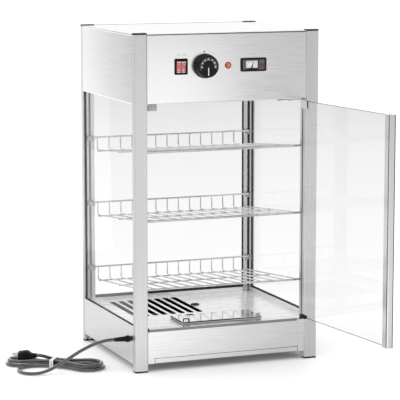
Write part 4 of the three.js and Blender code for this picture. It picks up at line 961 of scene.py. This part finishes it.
def bezel(x, wide, high, inner_wide, inner_high, proud, depth, corner=2.0):
    """A rounded frame round an opening, with a bevelled outer edge and a well."""
    face, back = FRONT_Y - proud, FRONT_Y + depth
    return loft("frame", [plate_ring(x, *step) for step in (
        (wide, high, corner, FRONT_Y), (wide, high, corner, face + 0.9),
        (wide - 0.5, high - 0.5, corner - 0.25, face + 0.3), (wide - 1.4, high - 1.4, corner - 0.5, face),
        (inner_wide + 0.8, inner_high + 0.8, 1.2, face), (inner_wide, inner_high, 0.8, face + 0.4),
        (inner_wide, inner_high, 0.8, back), (inner_wide + 2, inner_high + 2, 1.0, back),
        (inner_wide + 2, inner_high + 2, 1.0, FRONT_Y),
    )], black_gloss, closed=True)


def lettering(text, size, place, material, turn=0.0, thick=0.1):
    """Raised print that faces the front, centred on a place."""
    curve = bpy.data.curves.new("lettering", "FONT")
    curve.body, curve.size, curve.extrude = text, size * MM, thick / 2 * MM
    curve.align_x, curve.align_y = "CENTER", "CENTER"
    mesh = plain_mesh(added("lettering", curve), material)
    bpy.data.curves.remove(curve)
    upright = Matrix(((1, 0, 0), (0, 0, -1), (0, 1, 0))).to_4x4()
    mesh.transform(Matrix.Translation(place) @ Matrix.Rotation(turn, 4, "Y") @ upright)
    return mesh


def dash(x, z, angle, reach, half, depths, material):
    """A dash of a dial round (x, z), raised between two depths."""
    c, s = math.cos(angle), math.sin(angle)
    outline = [(x + r * c - a * s, z + r * s + a * c) for r, a in oblong(*reach, -half, half)]
    return prism("dash", outline, depths, facing, material)


def make_switch():
    """The frame of the two rockers with the back of its well, and the words over it."""
    z, skin = CONTROLS_Z + 20.6, FRONT_Y - 0.02
    piece("switch_frame", "case", [
        bezel(SWITCH_X, 24.8, 28.7, 18, 21.9, 2, 12),
        block(
            "well", (SWITCH_X - 9.4, SWITCH_X + 9.4), (FRONT_Y + 11.6, FRONT_Y + 12.4),
            (CONTROLS_Z - 11.4, CONTROLS_Z + 11.4), black,
        ),
    ], "switch_bezel")
    piece("switch_marks", "case", [
        lettering("OFF", 5.4, at(SWITCH_X - 5.5, skin, z), print_grey),
        lettering("ON", 5.4, at(SWITCH_X + 6.5, skin, z), print_grey),
    ])


def make_rocker(hand, side):
    """A translucent rocker with a waist, a white strip of painted highlight across each end and pale moulded
    marks.
    """
    middle = SWITCH_X + hand * 4.5
    half, tilt, pivot, waist, glint_half = 10.1, math.radians(-8), 4.0, 5.1, 0.55
    section = [(-6.5, 4.6), (-6.5, -4.6), (0, -half + 0.4), (5.4, -half), (6.1, -half + 0.8)]
    for k in range(9):
        along = (half - 1.6) * (k / 4 - 1)
        section.append((waist + (along / half) ** 2, along))
    section += [(6.1, half - 0.8), (5.4, half), (0, half - 0.4)]

    def tilted(proud, z, x):
        c, s = math.cos(tilt), math.sin(tilt)
        return at(middle + x, FRONT_Y + pivot - (proud * c - z * s), CONTROLS_Z + proud * s + z * c)

    rings = []
    for x, inset in ((-4.1, 0.5), (-3.95, 0.15), (-3.6, 0), (3.6, 0), (3.95, 0.15), (4.1, 0.5)):
        rings.append([tilted(p - (inset if p > 4 else 0), z * (1 - inset / half), x) for p, z in section])
    parts = [loft("key", rings, rocker_red)]
    # White strips across both ends of the rocker: painted highlights
    for z in (9.2, -9.2):
        outline = oblong(5.45, 6.09, z - glint_half, z + glint_half)
        parts.append(prism("glint_strip", outline, (-3.6, 3.6), tilted, print_white))
    for z, mark in ((5.6, "I"), (-5.6, "O")):
        spot = tilted(waist + (z / half) ** 2 + 0.06, z, 0)
        parts.append(lettering(mark, 4.6, spot, print_white, thick=0.3))
    piece("rocker_key_" + side, "rocker_" + side[0], parts, "rocker_" + side)


def make_knob():
    """The dial knob with its numbers, dashes and pointer, and the index on the panel."""
    face = 17.45
    front, start, step = FRONT_Y - face, 184, 15.5
    body = [
        (3.3, 0.8), (21.5, 0.8), (22, 1.3), (22, 3.2), (21.6, 3.8), (20.9, 4.2), (20.5, 5), (20, 15.4),
        (19.7, 16.5), (19.0, 17.4), (18.0, 17.8), (17.2, 17.8), (16.9, face), (0, face),
    ]
    parts = [turned("knob_body", body, at(KNOB_X, FRONT_Y, CONTROLS_Z), (0, -1, 0), knob_black, 96)]
    for k, number in enumerate(range(30, 91, 10)):
        angle = math.radians(start - 2 * step * k)
        place = facing(KNOB_X + 12.6 * math.cos(angle), CONTROLS_Z + 12.6 * math.sin(angle), front)
        parts.append(lettering(str(number), 4.7, place, print_white, math.pi / 2 - angle, 0.16))
    for k in range(-1, 14):
        angle, depths = math.radians(start - step * k), (front + 0.1, front - 0.08)
        parts.append(dash(KNOB_X, CONTROLS_Z, angle, (15.4, 16.5), 0.25, depths, print_white))
    parts.append(block(
        "pointer", (KNOB_X - 0.8, KNOB_X + 0.8), (front - 0.1, front + 0.2),
        (CONTROLS_Z - 16, CONTROLS_Z - 2), print_white,
    ))
    piece("knob_dial", "knob", parts, "thermostat_knob")
    mark = [(KNOB_X + x, CONTROLS_Z + z) for x, z in ((-3.1, 26.6), (0.1, 26.6), (-1.5, 23.2))]
    index = prism("index", mark, (FRONT_Y + 0.1, FRONT_Y - 0.12), facing, black)
    piece("knob_index", "case", [index])


def make_lamp():
    """The domed pilot lamp in its rim."""
    centre = at(LAMP_X, FRONT_Y, CONTROLS_Z)
    rim = [(4.7, 0.0), (6, 0.0), (6, 0.9), (5.6, 1.5), (5.0, 1.8), (4.7, 1.4)]
    dome = [(0, -2), (4.7, -2), (4.7, 1.3), (4.45, 2.3), (3.8, 3.5), (2.7, 4.5), (1.4, 5.1), (0, 5.3)]
    piece("pilot_lens", "case", [
        turned("lens", dome, centre, (0, -1, 0), lamp_amber, 48),
        turned("rim", rim, centre, (0, -1, 0), lamp_rim_red, 48),
    ], "pilot_lamp")


def make_meter():
    """The thermometer: its frame, the smoked face round the dial, the dial and its dashes."""
    wide, high, edge, proud = 49.5, 24.5, 3.2, 3
    inner_wide, inner_high = wide - 2 * edge, high - 2 * edge
    floor = FRONT_Y - 1.5
    left, right, low, top = METER_X - 14.7, METER_X + 8.8, CONTROLS_Z - 6.3, CONTROLS_Z + 7
    edge_x, edge_z = inner_wide / 2 + 0.3, inner_high / 2 + 0.3
    sides, zs, sheet = (left, right), (CONTROLS_Z - edge_z, CONTROLS_Z + edge_z), (floor, floor + 1)
    parts = [bezel(METER_X, wide, high, inner_wide, inner_high, proud, 6, 2.4)]
    for xs, ys, spans, material in (
        ((METER_X - edge_x, left), sheet, zs, smoked), ((right, METER_X + edge_x), sheet, zs, smoked),
        (sides, sheet, (zs[0], low), black_gloss), (sides, sheet, (top, zs[1]), smoked),
        ((right, right + 1.8), (floor - 0.3, floor + 0.5), (low, top + 1), black_gloss),
        ((right + 3, METER_X + edge_x - 1.2), (floor - 0.2, floor + 0.5),
         (CONTROLS_Z - 5.5, CONTROLS_Z + 2), print_red),
        ((left - 0.5, right + 0.5), (floor + 2, floor + 2.6), (low - 0.5, top + 0.5), print_white),
    ):
        parts.append(block("face", xs, ys, spans, material))
    for k in range(11):
        angle, reach = math.radians(150 - 12 * k), (8.6, 10.2) if k % 2 else (8.2, 10.8)
        depths = (floor + 2.05, floor + 1.9)
        parts.append(dash(sum(sides) / 2, low + 1.7, angle, reach, 0.16, depths, black))
    piece("meter_face", "case", parts, "thermometer")


make_switch()
make_rocker(-1, "left")
make_rocker(1, "right")
make_knob()
make_lamp()
make_meter()


# Studio: floor, backdrop colour and lamps
FLOOR_LIFT = 0.1
# Brightness of the floor as bright metal mirrors it, by metres from the pool of light
POOL_CENTRE, POOL_REACH, POOL_SHARE = (-0.45, -0.55, 0), 8, 0.7
POOL_BANDS = [(0.4, 1.75), (0.75, 0.62), (1.0, 0.95), (2.0, 0.85), (4.0, 0.76), (POOL_REACH, 0.4)]
# Brightness of the room by height, from straight down at -1 to straight up at 1
ROOM_LIGHT = [(0, 0.35), (0.5, 1.25)]
ROOM_BANDS = [(0, 0.7), (0.16, 0.75), (0.32, 0.3), (0.64, 0.12), (0.8, 0.9), (1, 1)]
FRONT_GREY, FRONT_FADE = 0.5, 0.25


def make_floor():
    """A pale floor that keeps shadows and meets the background without a line."""
    floor = Finish("studio_floor", (0.9, 0.9, 0.9), 0.9, 0, Specular_IOR_Level=0.0)
    floor.tint(floor.grain((3, 3, 3), 2.0), (0.89, 0.89, 0.89), (0.91, 0.91, 0.91))
    path = floor.node("LightPath").outputs
    away = floor.node("VectorMath", {0: floor.place(), 1: POOL_CENTRE}, operation="DISTANCE")
    tone = floor.bands(away.outputs["Value"], 0, POOL_REACH, POOL_BANDS)
    pool = floor.node("Emission", {"Color": tone, "Strength": 2})
    lift = floor.node("Emission", {"Strength": floor.times(floor.seen(path), FLOOR_LIFT)})
    both = floor.node("AddShader", {0: floor.shader, 1: lift})
    floor.show(floor.mix(floor.times(path["Is Glossy Ray"], POOL_SHARE), both, pool))
    reach, drop = 30, -0.0002
    corners = [(x, y, drop) for x, y in oblong(-reach, reach, -reach, reach)]
    added("floor", mesh_of("floor", corners, [(0, 1, 2, 3)], floor.material))


def make_world():
    """White for what the camera sees; a pale room with a dark band in front for what metal mirrors."""
    world = bpy.data.worlds.new("studio")
    world.use_nodes = True
    scene.world = world
    made = Nodes(world.node_tree)
    path = made.node("LightPath").outputs
    ray = made.node("TexCoord").outputs["Generated"]
    way = made.node("SeparateXYZ", {0: ray}).outputs
    soft = made.tree.nodes["Background"]
    soft.inputs["Strength"].default_value = 2
    made.tree.links.new(made.bands(way["Z"], -1, 1, ROOM_LIGHT).outputs[0], soft.inputs["Color"])
    tone = made.node("Mix", {
        0: made.span(way["Y"], -FRONT_FADE, FRONT_FADE, 1, 0), 6: (FRONT_GREY, FRONT_GREY, FRONT_GREY, 1),
        7: made.bands(way["Z"], -1, 1, ROOM_BANDS),
    }, data_type="RGBA")
    mirrored = made.node("Background", {"Color": tone.outputs[2], "Strength": 2})
    bright = made.node("Background", {"Color": (1, 1, 1, 1)})
    shader = made.mix(made.seen(path), made.mix(path["Is Glossy Ray"], soft, mirrored), bright)
    made.tree.links.new(shader.outputs[0], made.tree.nodes["World Output"].inputs["Surface"])


def lamp(name, place, target, size, watts):
    """A lamp that lights from a rectangle and isn't seen itself."""
    light = bpy.data.lights.new(name, "AREA")
    light.shape = "RECTANGLE"
    light.size, light.size_y = size
    light.energy = watts
    made = added(name, light)
    made.location = place
    made.rotation_euler = (Vector(target) - Vector(place)).to_track_quat("-Z", "Y").to_euler()
    made.visible_camera = made.visible_transmission = False
    return made


def card(name, place, target, size, watts):
    """A lit card that only bright surfaces mirror."""
    lamp(name, place, target, size, watts).visible_diffuse = False


make_floor()
make_world()
lamp("key", (-2.2, -2.4, 2.6), (0, 0, 0.3), (1.8, 1.8), 12)
lamp("top", (0, 0.6, 3.0), (0, 0.1, 0), (2.2, 2.2), 12)
card("front_card", (0.40, -1.48, 0.28), (-0.08, -0.15, 0.5), (0.34, 0.5), 0.4)
card("side_card", (-0.22, 1.01, 0.45), (-0.18, 0.1, 0.5), (0.5, 0.8), 0.9)
